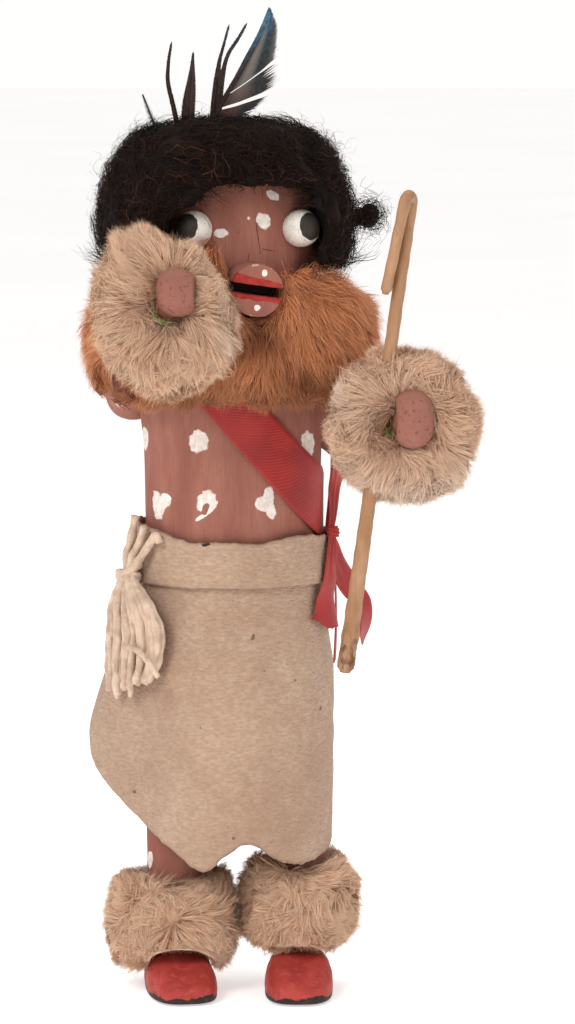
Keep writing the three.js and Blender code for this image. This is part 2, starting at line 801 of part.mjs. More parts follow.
// Yarn tassel: a knot at the hip, loops up to the belt and a skirt of cut ends that lies on the kilt.
function tassel() {
  const knotDegrees = -70;
  const knotHeight = beltFoot - tasselKnotRadius * 0.4;
  const beltOut = kiltThickness / 2 + beltThickness + 2 * gap;
  const knot = kiltPlace(knotDegrees, knotHeight, beltOut + tasselKnotRadius * 0.8);
  const yarn = (places, steps) =>
    tube(new THREE.CatmullRomCurve3(places), () => tasselYarnRadius, 5, steps);
  let made = ball(knot, [tasselKnotRadius, tasselKnotRadius * 0.8, tasselKnotRadius * 1.1], 8);
  const strands = 6;
  for (let i = 0; i < strands; i++) {
    const share = i / (strands - 1);
    const degrees = mix(-97, -47, share);
    const length = tasselLength * (1 - 0.3 * share);
    const out = kiltThickness / 2 + gap + tasselYarnRadius;
    const stacked = out + tasselYarnRadius * 1.6 * Math.sin(Math.PI * share);
    const middle = kiltPlace(mix(knotDegrees, degrees, 0.8), knotHeight - length * 0.4, stacked + 1);
    made = made.add(yarn([knot, middle, kiltPlace(degrees, knotHeight - length, stacked)], 5));
  }
  for (const [degrees, drop] of [[-86, 0], [-58, tasselYarnRadius * 2]]) {
    const top = beltTop(degrees) + tasselYarnRadius - drop;
    const out = beltOut + tasselYarnRadius;
    const loop = [knot, kiltPlace(mix(knotDegrees, degrees, 0.6), (knot.z + top) / 2, out + 1)];
    made = made.add(yarn([...loop, kiltPlace(degrees, top, out)], 4));
  }
  return made;
}

// Materials, in the colours of the real surfaces

const finish = (color, roughness) => new THREE.MeshStandardMaterial({ color, roughness, metalness: 0 });
const bodyPaint = finish(0x8a5750, 0.75);
const eyePaint = finish(0xd9cbbd, 0.7);
const lipPaint = finish(0x7d4a48, 0.7);
const shoePaint = finish(0xb0322f, 0.65);
const blackWool = finish(0x17100d, 0.95);
const paleFur = finish(0xb99a7c, 0.95);
const redFur = finish(0xa86c40, 0.95);
const buckskin = finish(0xc2a486, 0.85);
const redRibbon = finish(0x9e2024, 0.6);
const creamYarn = finish(0xcbb294, 0.95);
const greenYarn = finish(0x5f8a2c, 0.9);
const bareWood = finish(0xb98555, 0.6);
const vane = finish(0x2a211d, 0.5);

// The doll, put together in its own frame

const doll = new THREE.Group();
const add = (name, solid, material) => doll.add(meshOf(name, solid, material));
const both = (make) => make(sides.right).add(make(sides.left));
const armsGrown = both((arm) => wholeArm(arm, gap));
const yarnsGrown = both((arm) => wristYarn(arm, gap));
const cuffsGrown = both((arm) => cuffShape(arm, gap));
const moccasinsGrown = both((foot) => moccasin(foot, gap));
const eyesGrown = eye(-1, gap).add(eye(1, gap));
const feathersGrown = Object.keys(feathers).map((name) => feather(name, gap));
const kiltGrown = kilt(gap);
const trunkAndRibbon = trunk(sashLift * 4.6 + ribbonThickness + gap);

add('carved_figure', figure(), bodyPaint);
add('mouth', cutBy(mouth(), trunk(gap)), lipPaint);
for (const [name, side] of Object.entries(sides)) {
  const cuff = cutBy(cuffShape(side), armsGrown, yarnsGrown, crook(gap), mouth(gap));
  const anklet = cutBy(ankletShape(side), legs(gap), moccasinsGrown, kiltGrown);
  const yarn = cutBy(wristYarn(side), fist(side, gap), crook(gap));
  add(`eye_${name}`, cutBy(eye(side.sign), trunk(gap)), eyePaint);
  add(`arm_${name}`, cutBy(wholeArm(side), trunk(gap)), bodyPaint);
  add(`wrist_yarn_${name}`, yarn, greenYarn);
  add(`fur_cuff_${name}`, cuff, paleFur);
  add(`moccasin_${name}`, moccasin(side), shoePaint);
  add(`fur_anklet_${name}`, anklet, paleFur);
}
const collarCuts = [trunkAndRibbon, mouth(gap), armsGrown, cuffsGrown];
const wigCuts = [trunk(gap), faceOpening(), eyesGrown, ...feathersGrown];
add('fur_collar', cutBy(collarShape(), ...collarCuts), redFur);
add('wig', cutBy(wigShape(), ...wigCuts), blackWool);
for (const name of Object.keys(feathers)) add(name, feather(name), vane);
add('kilt', kilt(), buckskin);
add('belt', belt(), buckskin);
add('ribbon_sash', ribbonSash(), redRibbon);
add('yarn_tassel', cutBy(tassel(), kiltGrown, belt(gap)), creamYarn);
add('crook', crook(), bareWood);

const box = new THREE.Box3().setFromObject(doll);
const middle = box.getCenter(new THREE.Vector3());
doll.position.set(-middle.x, -middle.y, -box.min.z);

export default doll;
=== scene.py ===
import math
import bpy
import numpy as np
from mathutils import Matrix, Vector
from mathutils.bvhtree import BVHTree
from mathutils.kdtree import KDTree


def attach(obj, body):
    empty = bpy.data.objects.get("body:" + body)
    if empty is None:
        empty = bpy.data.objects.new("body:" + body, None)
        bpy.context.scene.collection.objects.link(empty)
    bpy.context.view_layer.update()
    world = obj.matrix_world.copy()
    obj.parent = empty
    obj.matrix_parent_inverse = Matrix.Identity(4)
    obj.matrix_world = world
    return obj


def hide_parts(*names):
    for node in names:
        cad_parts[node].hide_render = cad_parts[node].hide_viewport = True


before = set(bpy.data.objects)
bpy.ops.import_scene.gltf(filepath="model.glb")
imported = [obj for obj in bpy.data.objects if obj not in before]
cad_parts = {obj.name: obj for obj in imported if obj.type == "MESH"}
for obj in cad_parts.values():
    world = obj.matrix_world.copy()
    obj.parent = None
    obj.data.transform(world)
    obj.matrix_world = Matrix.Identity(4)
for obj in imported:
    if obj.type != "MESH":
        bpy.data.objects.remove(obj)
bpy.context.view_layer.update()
scene = bpy.context.scene

# All sizes below are in mm, from the doll's own axis. The frame's origin is the middle of its box.
dollAxis = np.array((-12.39, 12.10, 0.0))
figureHeight = 227.0
torsoRadius = 24.0
torsoDepth, headDepth = 0.86, 0.95  # front to back, as a share of the width
headTurn = math.radians(12)
clearance = 0.35  # between pieces that touch


# Camera and studio

def aimCamera():
    data = bpy.data.cameras.new("camera")
    data.sensor_width = 36
    data.lens = studio["lens"]
    data.clip_start, data.clip_end = 0.05, 20
    camera = bpy.data.objects.new("camera", data)
    camera.location = studio["eye"]
    camera.rotation_euler = (math.radians(90 - studio["lookDown"]), 0, 0)
    scene.collection.objects.link(camera)
    scene.camera = camera


studio = {
    "lens": 159.2, "eye": (0.00231, -1.1879, 0.265), "lookDown": 6.5,
    "worldColour": "#F7F5F3", "worldStrength": 0.55,
    "keyWatts": 13.4, "keySize": 0.7, "keyPlace": (-0.75, -1.05, 1.15),
    "fillWatts": 3.2, "fillSize": 0.9, "fillPlace": (1.05, -0.9, 0.55),
    "topWatts": 3.2, "topSize": 0.6, "topPlace": (0.1, 0.35, 1.2),
    "floorColour": "#F6F4F2", "cardGlow": 0.5, "cardWidth": 24,
}


# Shared tools

def linear(hexColour):
    channels = [int(hexColour[i:i + 2], 16) / 255 for i in (1, 3, 5)]
    return (*[c / 12.92 if c < 0.04045 else ((c + 0.055) / 1.055) ** 2.4 for c in channels], 1.0)


def smooth(x, low, high):
    t = np.clip((x - low) / (high - low), 0, 1)
    return t * t * (3 - 2 * t)


def mix(a, b, t):
    return a + (b - a) * t


def circle(count):  # angles once round
    return np.linspace(0, 2 * math.pi, count, endpoint=False)


def grid(first, second):
    return np.meshgrid(first, second, indexing="ij")


def lengthOf(v):
    return np.linalg.norm(v, axis=-1)


def travelled(path):  # how far along the path each of its points is
    return np.r_[0, np.cumsum(lengthOf(np.diff(path, axis=0)))]


def through(pairs, at):  # a smooth curve through [position, value] pairs
    xs, ys = (np.array([p[k] for p in pairs], float) for k in (0, 1))
    after, before = np.r_[1:len(xs), len(xs) - 1], np.r_[0, 0:len(xs) - 1]
    slopes = (ys[after] - ys[before]) / (xs[after] - xs[before])
    at = np.clip(at, xs[0], xs[-1])
    i = np.clip(np.searchsorted(xs, at, side="right") - 1, 0, len(xs) - 2)
    span = xs[i + 1] - xs[i]
    t = (at - xs[i]) / span
    bow = span * t * (1 - t) * (slopes[i] * (1 - t) - slopes[i + 1] * t)
    return ys[i] + (ys[i + 1] - ys[i]) * t * t * (3 - 2 * t) + bow


def softNoise(points, size, seed, layers=2):  # about -1 to 1, in lumps of that many mm
    chance = np.random.default_rng(seed)
    total, amount, whole = 0, 1.0, 0.0
    for layer in range(layers):
        ways = chance.normal(size=(7, 3))
        ways *= chance.uniform(0.7, 1.3, (7, 1)) / np.linalg.norm(ways, axis=1, keepdims=True)
        phase = chance.uniform(0, 2 * math.pi, 7)
        total = total + amount * np.sin(points @ ways.T * (4.0 * 2 ** layer / size) + phase).sum(1) / 2.6
        whole += amount
        amount *= 0.5
    return total / whole


def noiseVectors(points, size, seed, layers=2):
    return np.stack([softNoise(points, size, seed + k, layers) for k in range(3)], 1)


def unit(v):
    return v / np.maximum(np.linalg.norm(v, axis=-1, keepdims=True), 1e-9)


def toFrame(points):
    return (np.asarray(points, float) + dollAxis) / 1000


def gridFaces(rows, columns, closed=False):
    i, j = grid(np.arange(rows - 1), np.arange(columns if closed else columns - 1))
    i, j = i.ravel(), j.ravel()
    k = (j + 1) % columns
    return np.stack([i * columns + j, i * columns + k, (i + 1) * columns + k, (i + 1) * columns + j], 1)


def joined(parts):  # several (points, faces) as one
    points, faces, start = [], [], 0
    for p, f in parts:
        points.append(p)
        faces += [g + start for g in (f if isinstance(f, list) else [f])]
        start += len(p)
    return np.concatenate(points), faces


def makeMesh(name, points, faces, values=None):
    groups = faces if isinstance(faces, list) else [faces]
    corners = np.concatenate([g.ravel() for g in groups]).astype(np.int32)
    sizes = np.concatenate([np.full(len(g), g.shape[1]) for g in groups]).astype(np.int32)
    mesh = bpy.data.meshes.new(name)
    mesh.vertices.add(len(points))
    mesh.vertices.foreach_set("co", toFrame(points).astype(np.float32).ravel())
    mesh.loops.add(len(corners))
    mesh.loops.foreach_set("vertex_index", corners)
    mesh.polygons.add(len(sizes))
    mesh.polygons.foreach_set("loop_start", (np.cumsum(sizes) - sizes).astype(np.int32))
    mesh.update(calc_edges=True)
    for key, value in (values or {}).items():
        value = np.asarray(value, np.float32)
        kind, field = ("FLOAT", "value") if value.ndim == 1 else ("FLOAT_VECTOR", "vector")
        mesh.attributes.new(key, kind, "POINT").data.foreach_set(field, value.ravel())
    mesh.shade_smooth()
    return mesh


def addPiece(name, points, faces, values, material, nodes, slot):
    mesh = makeMesh(name, points, faces, values)
    mesh.materials.append(material)
    piece = bpy.data.objects.new(name, mesh)
    scene.collection.objects.link(piece)
    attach(piece, "root")
    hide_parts(*nodes)
    return piece


def meshArrays(mesh):  # points in mm from the doll's axis, triangles and point normals
    points = np.zeros(len(mesh.vertices) * 3, np.float32)
    mesh.vertices.foreach_get("co", points)
    mesh.calc_loop_triangles()
    triangles = np.zeros(len(mesh.loop_triangles) * 3, np.int32)
    mesh.loop_triangles.foreach_get("vertices", triangles)
    normals = np.zeros(len(mesh.vertices) * 3, np.float32)
    mesh.vertices.foreach_get("normal", normals)
    return points.reshape(-1, 3) * 1000.0 - dollAxis, triangles.reshape(-1, 3), normals.reshape(-1, 3)


def roundedForm(meshes, voxel, rounds, shrink=0.0):  # one soft skin over closed meshes
    if isinstance(meshes, str):
        meshes = [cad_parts[meshes].data]
    points, faces = joined([meshArrays(m)[:2] for m in meshes])
    work = bpy.data.objects.new("work", makeMesh("work", points, faces))
    scene.collection.objects.link(work)
    remesh = work.modifiers.new("remesh", "REMESH")
    remesh.mode, remesh.voxel_size = "VOXEL", voxel / 1000
    if shrink:
        push = work.modifiers.new("push", "DISPLACE")
        push.mid_level, push.strength = 0, -shrink / 1000
    soften = work.modifiers.new("soften", "SMOOTH")
    soften.factor, soften.iterations = 0.5, rounds
    made = bpy.data.meshes.new_from_object(work.evaluated_get(bpy.context.evaluated_depsgraph_get()))
    bpy.data.objects.remove(work)
    arrays = meshArrays(made)
    bpy.data.meshes.remove(made)
    return arrays


def turnedTube(path, radii, sides, lobes=0, lobeDepth=0.0, twist=0.0):  # a closed tube along points
    path = np.asarray(path, float)
    along = unit(np.gradient(path, axis=0))
    side = np.zeros_like(path)
    side[0] = unit(np.cross(along[0], (0.31, 0.95, 0.05)))
    for i in range(1, len(path)):
        side[i] = unit(side[i - 1] - along[i] * np.dot(side[i - 1], along[i]))
    other = np.cross(along, side)
    angle = circle(sides)
    travel = travelled(path)
    turn = angle[None, :] + twist * travel[:, None]
    reach = np.asarray(radii)[:, None] * (1 + lobeDepth * np.cos(lobes * angle)[None, :])
    ring = path[:, None] + side[:, None] * (np.cos(turn) * reach)[..., None]
    ring = ring + other[:, None] * (np.sin(turn) * reach)[..., None]
    points = np.concatenate([ring.reshape(-1, 3), path[:1], path[-1:]])
    n, last = len(path) * sides, (len(path) - 1) * sides
    around = np.arange(sides)
    after = (around + 1) % sides
    caps = np.concatenate([
        np.stack([after, around, np.full(sides, n)], 1),
        np.stack([around + last, after + last, np.full(sides, n + 1)], 1)])
    return points, [gridFaces(len(path), sides, True)[:, ::-1], caps[:, ::-1]]


def turnedBall(rows, columns):  # of radius 1, with its poles on y
    polar, turn = grid(np.linspace(0, math.pi, rows), circle(columns))
    ball = np.stack([np.sin(polar) * np.cos(turn), np.cos(polar), np.sin(polar) * np.sin(turn)], -1)
    return ball.reshape(-1, 3), gridFaces(rows, columns, True)[:, ::-1]


def spline(points, count):  # a rounded line of count points through a few
    points = np.asarray(points, float)
    steps = np.r_[0, np.cumsum(np.sqrt(lengthOf(np.diff(points, axis=0))))]
    at = np.linspace(0, steps[-1], count)
    return np.stack([through(list(zip(steps, points[:, k])), at) for k in range(3)], 1)


def evenly(path, count):  # the same line with its points at equal distances
    travel = travelled(path)
    at = np.linspace(0, travel[-1], count)
    return np.stack([np.interp(at, travel, path[:, k]) for k in range(3)], 1)


# Materials. One function adds a node: a socket among its settings is linked, anything else is set.

def addNode(tree, kind, settings=None):
    node = tree.nodes.new("ShaderNode" + kind)
    for key, value in (settings or {}).items():
        if isinstance(value, bpy.types.NodeSocket):
            tree.links.new(value, node.inputs[key])
        elif key == "stops":
            ramp = node.color_ramp
            while len(ramp.elements) < len(value):
                ramp.elements.new(0.5)
            for element, (at, colour) in zip(ramp.elements, value):
                element.position = at
                element.color = linear(colour) if isinstance(colour, str) else (colour, colour, colour, 1)
        elif isinstance(key, int) or key in node.inputs:
            node.inputs[key].default_value = linear(value) if isinstance(value, str) else value
        else:
            setattr(node, key, value)
    return node


def newMaterial(name, *reads, **values):  # reads: the values stored at the points that it uses
    sockets = {"roughness": "Roughness", "ior": "IOR", "sheen": "Sheen Weight", "sheenRoughness": "Sheen Roughness",
               "specular": "Specular IOR Level"}
    made = bpy.data.materials.new(name)
    made.use_nodes = True
    tree = made.node_tree
    shader = tree.nodes["Principled BSDF"]
    for key, value in values.items():
        shader.inputs[sockets[key]].default_value = value
    place = addNode(tree, "NewGeometry").outputs["Position"]
    stored = []
    for key in reads:
        outputs = addNode(tree, "Attribute", {"attribute_name": key}).outputs
        stored.append(outputs["Vector" if key == "local" else "Fac"])
    return made, tree, shader, place, *stored


def blendColours(tree, factor, first, second, mode="MIX"):
    return addNode(tree, "Mix", {"data_type": "RGBA", "blend_type": mode, 0: factor, 6: first, 7: second}).outputs[2]


def noiseAt(tree, place, size, detail=3, stretch=(1, 1, 1), low=0.35, high=0.65, rough=0.55):
    scaled = addNode(tree, "Mapping", {"Scale": stretch, "Vector": place}).outputs[0]
    field = addNode(tree, "TexNoise",
                    {"Scale": 1000 / size, "Detail": detail, "Roughness": rough, "Vector": scaled}).outputs["Fac"]
    return addNode(tree, "MapRange", {"From Min": low, "From Max": high, "Value": field}).outputs[0]


def sums(tree, operation, *values):
    return addNode(tree, "Math", {"operation": operation, **dict(enumerate(values))}).outputs[0]


def tint(tree, colour, mask, share, second):  # a share of a second colour laid over it where the mask is
    return blendColours(tree, sums(tree, "MULTIPLY", mask, share), colour, second)


def relief(tree, shader, height, millimetres, strength):
    bump = addNode(tree, "Bump", {"Distance": millimetres / 1000, "Strength": strength, "Height": height})
    tree.links.new(bump.outputs[0], shader.inputs["Normal"])


def nearestBall(tree, place, balls):  # distance to the nearest of several stretched balls, 1 at its edge
    nearest = None
    for centre, halves, tilt in balls:
        local = addNode(tree, "Mapping", {"vector_type": "TEXTURE", "Location": centre, "Scale": halves,
                                          "Rotation": (0, math.radians(tilt), 0), "Vector": place})
        length = addNode(tree, "VectorMath", {"operation": "LENGTH", 0: local.outputs[0]}).outputs["Value"]
        nearest = length if nearest is None else sums(tree, "MINIMUM", nearest, length)
    return nearest


def spots(tree, place, shapes, edge=0.35, sizeOfEdge=1.3):  # brush dabs with a ragged edge
    ragged = addNode(tree, "TexNoise", {"Scale": 1000 / sizeOfEdge, "Detail": 3, "Vector": place}).outputs["Fac"]
    nearest = nearestBall(tree, place, [(toFrame(centre).tolist(), [h / 1000 for h in halves], tilt)
                                        for centre, halves, tilt in shapes])
    worn = sums(tree, "MULTIPLY_ADD", ragged, edge * 2, -edge)
    reach = sums(tree, "ADD", nearest, worn)
    return addNode(tree, "MapRange", {"From Min": 1.06, "From Max": 0.94, "Value": reach}).outputs[0]


# Carved figure: torso, neck, head and legs, carved from one cottonwood root and painted

figure = {
    "profile": [(25.6, 21.1), (29, 22.8), (41.5, 22.56), (51, 22.32), (55, 23.28), (64.5, 23.76), (69.5, 24.96),
                (73.1, 24.96), (75.8, 22.56), (77.5, 19.5), (79, 15), (80.6, 16.5), (82.4, 21.16), (86, 23),
                (92, 22.77), (96.5, 20.24), (98.7, 15.18), (99.65, 8.28)],  # percent of the height, radius
    "crotch": 58.1, "legs": (-15.7, 17.7), "legRadius": 7.6, "ankle": 11.0,
    "knifeFacets": 0.16,  # depth of the knife marks
    # white dabs: x, height, half width, half height, tilt of the brush
    "frontDabs": [(-23.1, 148.4, 1.1, 3.3, 4), (-8.6, 148.9, 2.6, 3.0, 0), (20.2, 147.6, 2.0, 3.4, -8),
                  (-17.6, 132.8, 1.7, 1.9, 10), (-19.6, 131.4, 1.5, 3.9, -8), (-18.9, 130.4, 1.1, 3.3, 25),
                  (8.6, 132.6, 2.5, 2.0, 8), (9.8, 134.4, 1.4, 2.9, 0), (10.2, 131.0, 1.3, 2.6, -14)],
    "ringDabs": [(-6.4, 133.0, 2.6, 3.2, 18)], "ringHoles": [(-6.9, 131.2, 0.85, 1.7, 25)],
    "ringTails": [(-7.6, 129.3, 2.5, 0.55, -35)],
    "faceDabs": [(10.9, 213.4, 1.9, 1.1, 30), (8.5, 206.9, 1.75, 2.2, -24), (-2.6, 203.7, 1.9, 1.15, -6),
                 (4.6, 207.6, 0.35, 0.45, 0)],
    "backDabs": [(-14, 149, 2.2, 3.2, 5), (6, 148, 2.4, 3.0, -6), (-6, 133, 2.2, 3.4, 8), (14, 132, 2.2, 3.6, -4)],
    "legDabs": [(-22.3, 34.9, 0.9, 2.4, 6), (13.4, 36.4, 1.0, 1.8, -8)],
}


def figureRadius(height):
    return through(figure["profile"], np.asarray(height, float) / figureHeight * 100)


def figureDepth(height):
    return mix(torsoDepth, headDepth, smooth(np.asarray(height, float), 172, 183))


def onFigure(x, height, back=False):  # the place on the wood at that x and height, front or back
    radius = float(figureRadius(height))
    across = max(-0.995, min(0.995, x / radius))
    y = radius * float(figureDepth(height)) * math.sqrt(1 - across * across)
    return (x, y if back else -y, height)


def carvedFigure():
    heights = np.linspace(figure["crotch"], figure["profile"][-1][0] * figureHeight / 100, 180)
    radii = figureRadius(heights)
    heights = np.r_[heights[:1], heights, figureHeight - 0.1, figureHeight]
    radii = np.r_[0.01, radii, 4.2, 0.01]
    angle = circle(112)
    x = np.sin(angle)[None] * radii[:, None]
    y = -np.cos(angle)[None] * (radii * figureDepth(heights))[:, None]
    z = np.repeat(heights[:, None], len(angle), 1)
    body = np.stack([x, y, z], -1).reshape(-1, 3)
    # knife work: flats that run along the grain, and a few shallow dips
    flats = np.sin(np.arctan2(body[:, 0], -body[:, 1]) * 17 + 1.6 * np.sin(body[:, 2] / 23))
    dips = softNoise(body * (1, 1, 0.25), 7, 3)
    out = unit(body * (1, 1, 0))
    push = figure["knifeFacets"] * (0.5 * flats + dips) - 0.16
    body = body + out * push[:, None] * smooth(np.hypot(body[:, 0], body[:, 1]), 2, 9)[:, None]
    parts = [(body, gridFaces(len(heights), len(angle), True))]
    for x in figure["legs"]:
        rise = np.linspace(figure["ankle"], figure["crotch"] + 6, 40)
        path = np.stack([np.full_like(rise, x), np.zeros_like(rise), rise], 1)
        leg, faces = turnedTube(path, np.full(40, figure["legRadius"] - 0.12), 40)
        side = leg - (x, 0, 0)
        leg = leg + unit(side * (1, 1, 0)) * (0.14 * softNoise(leg * (1, 1, 0.3), 5, 8))[:, None]
        parts.append((leg, faces))
    points, faces = joined(parts)
    addPiece("painted_figure", points, faces, None, bodyPaint, ["carved_figure"], "body_paint")


def paintOverWood(tree, place):
    # thin tempera brushed along the grain: the pores and streaks of the cottonwood show through
    streaks = noiseAt(tree, place, 0.55, 4, (1, 1, 0.07), 0.3, 0.7)
    broad = noiseAt(tree, place, 9, 3, (1, 1, 0.35))
    worn = noiseAt(tree, place, 5, 4, (1, 1, 0.22), 0.56, 0.74)
    specks = noiseAt(tree, place, 0.9, 2, (1, 1, 0.5), 0.70, 0.76)
    colour = blendColours(tree, broad, "#935B4E", "#AA7262")
    colour = tint(tree, colour, streaks, 0.45, "#875244")
    colour = tint(tree, colour, worn, 0.42, "#A9624A")
    colour = tint(tree, colour, specks, 0.55, "#5C3832")
    return colour, streaks


def makeBodyPaint():
    # cottonwood under thin matt tempera: dull mauve-brown with the grain showing and chalky white dabs
    made, tree, shader, place = newMaterial("temperaOnCarvedCottonwood", roughness=0.78, ior=1.46, specular=0.3)
    colour, streaks = paintOverWood(tree, place)
    # hairline cracks in the forehead
    cracks = spots(tree, place, [((7.0, -23, 203), (0.17, 5, 5.5), -8), ((9.8, -22, 199.2), (2.4, 5, 0.15), 12),
                                 ((4.4, -23, 196.5), (0.15, 5, 2.4), 10)], 0.8, 0.6)
    colour = tint(tree, colour, cracks, 0.75, "#3E211C")
    shapes = [(onFigure(x, z), (a, 5, b), t) for x, z, a, b, t in figure["frontDabs"] + figure["ringDabs"]]
    shapes += [(onFigure(x, z, True), (a, 5, b), t) for x, z, a, b, t in figure["backDabs"]]
    shapes += [(onFigure(x, z), (a, 5, b), t) for x, z, a, b, t in figure["faceDabs"] + figure["ringTails"]]
    shapes += [((x, -5, z), (a, 4, b), t) for x, z, a, b, t in figure["legDabs"]]
    dabs = spots(tree, place, shapes)
    holes = spots(tree, place, [(onFigure(x, z), (a, 5, b), t) for x, z, a, b, t in figure["ringHoles"]])
    dabs = sums(tree, "SUBTRACT", dabs, holes)
    thin = noiseAt(tree, place, 0.6, 4, (1, 1, 0.12), 0.25, 0.5)  # the brush skips over the grain
    cover = sums(tree, "MULTIPLY", dabs, sums(tree, "MULTIPLY_ADD", thin, 0.25, 0.75))
    white = blendColours(tree, noiseAt(tree, place, 1.6, 3), "#E4D3C8", "#F6EDE6")
    tree.links.new(blendColours(tree, cover, colour, white), shader.inputs["Base Color"])
    tree.links.new(sums(tree, "MULTIPLY_ADD", streaks, 0.12, 0.7), shader.inputs["Roughness"])
    height = sums(tree, "ADD", sums(tree, "MULTIPLY", streaks, -0.45), sums(tree, "MULTIPLY", cover, 1.0))
    relief(tree, shader, height, 0.12, 0.8)
    return made


# Face: two ball eyes and a mouth peg

face = {"eyeRadius": 5.0, "eyeSpread": 36, "eyeStandOut": 2.0, "eyeLevel": 204.75,
        "mouthRadius": 6.9, "mouthLength": 12.5, "slot": 2.6, "slotDepth": 9.0, "roll": 8.0, "mouthLevel": 189.5}


def facing(degrees=0.0):
    turn = headTurn + math.radians(degrees)
    return np.array((math.sin(turn), -math.cos(turn), 0.0))


def headReach(way, height):
    radius = float(figureRadius(height))
    return 1 / math.hypot(way[0] / radius, way[1] / (radius * float(figureDepth(height))))


def eyeBall(side, name, node, pupilWay):
    way = facing(side * face["eyeSpread"])
    centre = way * (headReach(way, face["eyeLevel"]) + face["eyeStandOut"])
    centre[2] = face["eyeLevel"]
    ball, faces = turnedBall(40, 64)
    # sanded by hand, so it is a little uneven and flatter in front
    reach = face["eyeRadius"] * (0.985 + 0.012 * softNoise(ball * 10, 8, 11 + side))
    reach = reach * (1 - 0.05 * smooth(ball @ way, 0.75, 1))
    angle = np.degrees(np.arccos(np.clip(ball @ unit(np.array(pupilWay, float)), -1, 1)))
    addPiece(name, ball * reach[:, None] + centre, faces, {"fromPupil": angle, "local": ball * 5}, eyePaint, [node],
             "white_paint")


def makeEyePaint():
    # chalky white paint over a turned wooden ball, crazed with age, and a black pupil put on with a full brush
    made, tree, shader, place, local, away = newMaterial("crazedWhitePaint", "local", "fromPupil", roughness=0.62,
                                                         ior=1.47, specular=0.35)
    cells = addNode(tree, "TexVoronoi", {"feature": "DISTANCE_TO_EDGE", "Scale": 1.5, "Randomness": 1.0,
                                         "Vector": local}).outputs["Distance"]
    cracks = addNode(tree, "MapRange", {"From Min": 0.05, "From Max": 0.0, "Value": cells}).outputs[0]
    patchy = noiseAt(tree, place, 1.5, 4, low=0.45, high=0.75)
    cracks = sums(tree, "MULTIPLY", cracks, patchy)
    dirt = noiseAt(tree, place, 0.7, 4, low=0.52, high=0.75)
    white = tint(tree, "#EFE6DC", dirt, 0.5, "#B79F90")
    white = tint(tree, white, cracks, 0.8, "#5A4238")
    ragged = addNode(tree, "TexNoise", {"Scale": 0.9, "Detail": 4, "Vector": local}).outputs["Fac"]
    reach = sums(tree, "MULTIPLY_ADD", ragged, 9, away)
    pupil = addNode(tree, "MapRange", {"From Min": 52.4, "From Max": 51.0, "Value": reach}).outputs[0]
    worn = noiseAt(tree, place, 0.5, 4, low=0.3, high=0.8)
    black = blendColours(tree, worn, "#3B372F", "#211D18")
    tree.links.new(blendColours(tree, pupil, white, black), shader.inputs["Base Color"])
    tree.links.new(sums(tree, "MULTIPLY_ADD", pupil, -0.1, 0.66), shader.inputs["Roughness"])
    height = sums(tree, "SUBTRACT", sums(tree, "MULTIPLY", worn, 0.4), cracks)
    relief(tree, shader, height, 0.1, 0.7)
    return made


def mouthPeg():
    radius, reach = face["mouthRadius"], face["mouthLength"] + face["mouthRadius"] * 0.5
    bpy.ops.mesh.primitive_cylinder_add(vertices=96, radius=radius, depth=reach, location=(0, 0, reach / 2))
    peg = bpy.context.object
    bpy.ops.mesh.primitive_cube_add(size=1, location=(0, 0, reach), rotation=(0, 0, -math.radians(face["roll"])))
    cutter = bpy.context.object
    cutter.scale = (face["slot"], radius * 3, face["slotDepth"] * 2)
    slot = peg.modifiers.new("slot", "BOOLEAN")
    slot.object, slot.operation, slot.solver = cutter, "DIFFERENCE", "EXACT"
    edges = peg.modifiers.new("edges", "BEVEL")  # the rims are worn round
    edges.width, edges.segments, edges.limit_method, edges.angle_limit = 0.42, 3, "ANGLE", math.radians(40)
    fine = peg.modifiers.new("fine", "REMESH")
    fine.mode, fine.voxel_size = "VOXEL", 0.3
    soften = peg.modifiers.new("soften", "SMOOTH")
    soften.iterations = 2
    made = bpy.data.meshes.new_from_object(peg.evaluated_get(bpy.context.evaluated_depsgraph_get()))
    bpy.data.objects.remove(cutter)
    bpy.data.objects.remove(peg)
    count = len(made.vertices)
    local = np.zeros(count * 3, np.float32)
    made.vertices.foreach_get("co", local)
    local = local.reshape(-1, 3) + (0, 0, reach / 2)
    faces = np.array([p.vertices[:] for p in made.polygons if len(p.vertices) == 4])
    roll = math.radians(face["roll"])
    down = local[:, 0] * math.cos(roll) - local[:, 1] * math.sin(roll)
    across = local[:, 0] * math.sin(roll) + local[:, 1] * math.cos(roll)
    way = facing()
    root = headReach(way, face["mouthLevel"]) - face["mouthRadius"] * 0.5
    basis = np.stack([(0, 0, -1), np.cross(way, (0, 0, -1)), way])
    local = local + noiseVectors(local, 4, 21) * 0.07
    points = local @ basis + way * root + (0, 0, face["mouthLevel"])
    values = {"local": np.stack([across, -down, local[:, 2] - reach], 1)}
    addPiece("mouth_peg", points, faces, values, lipPaint, ["mouth"], "body_paint")


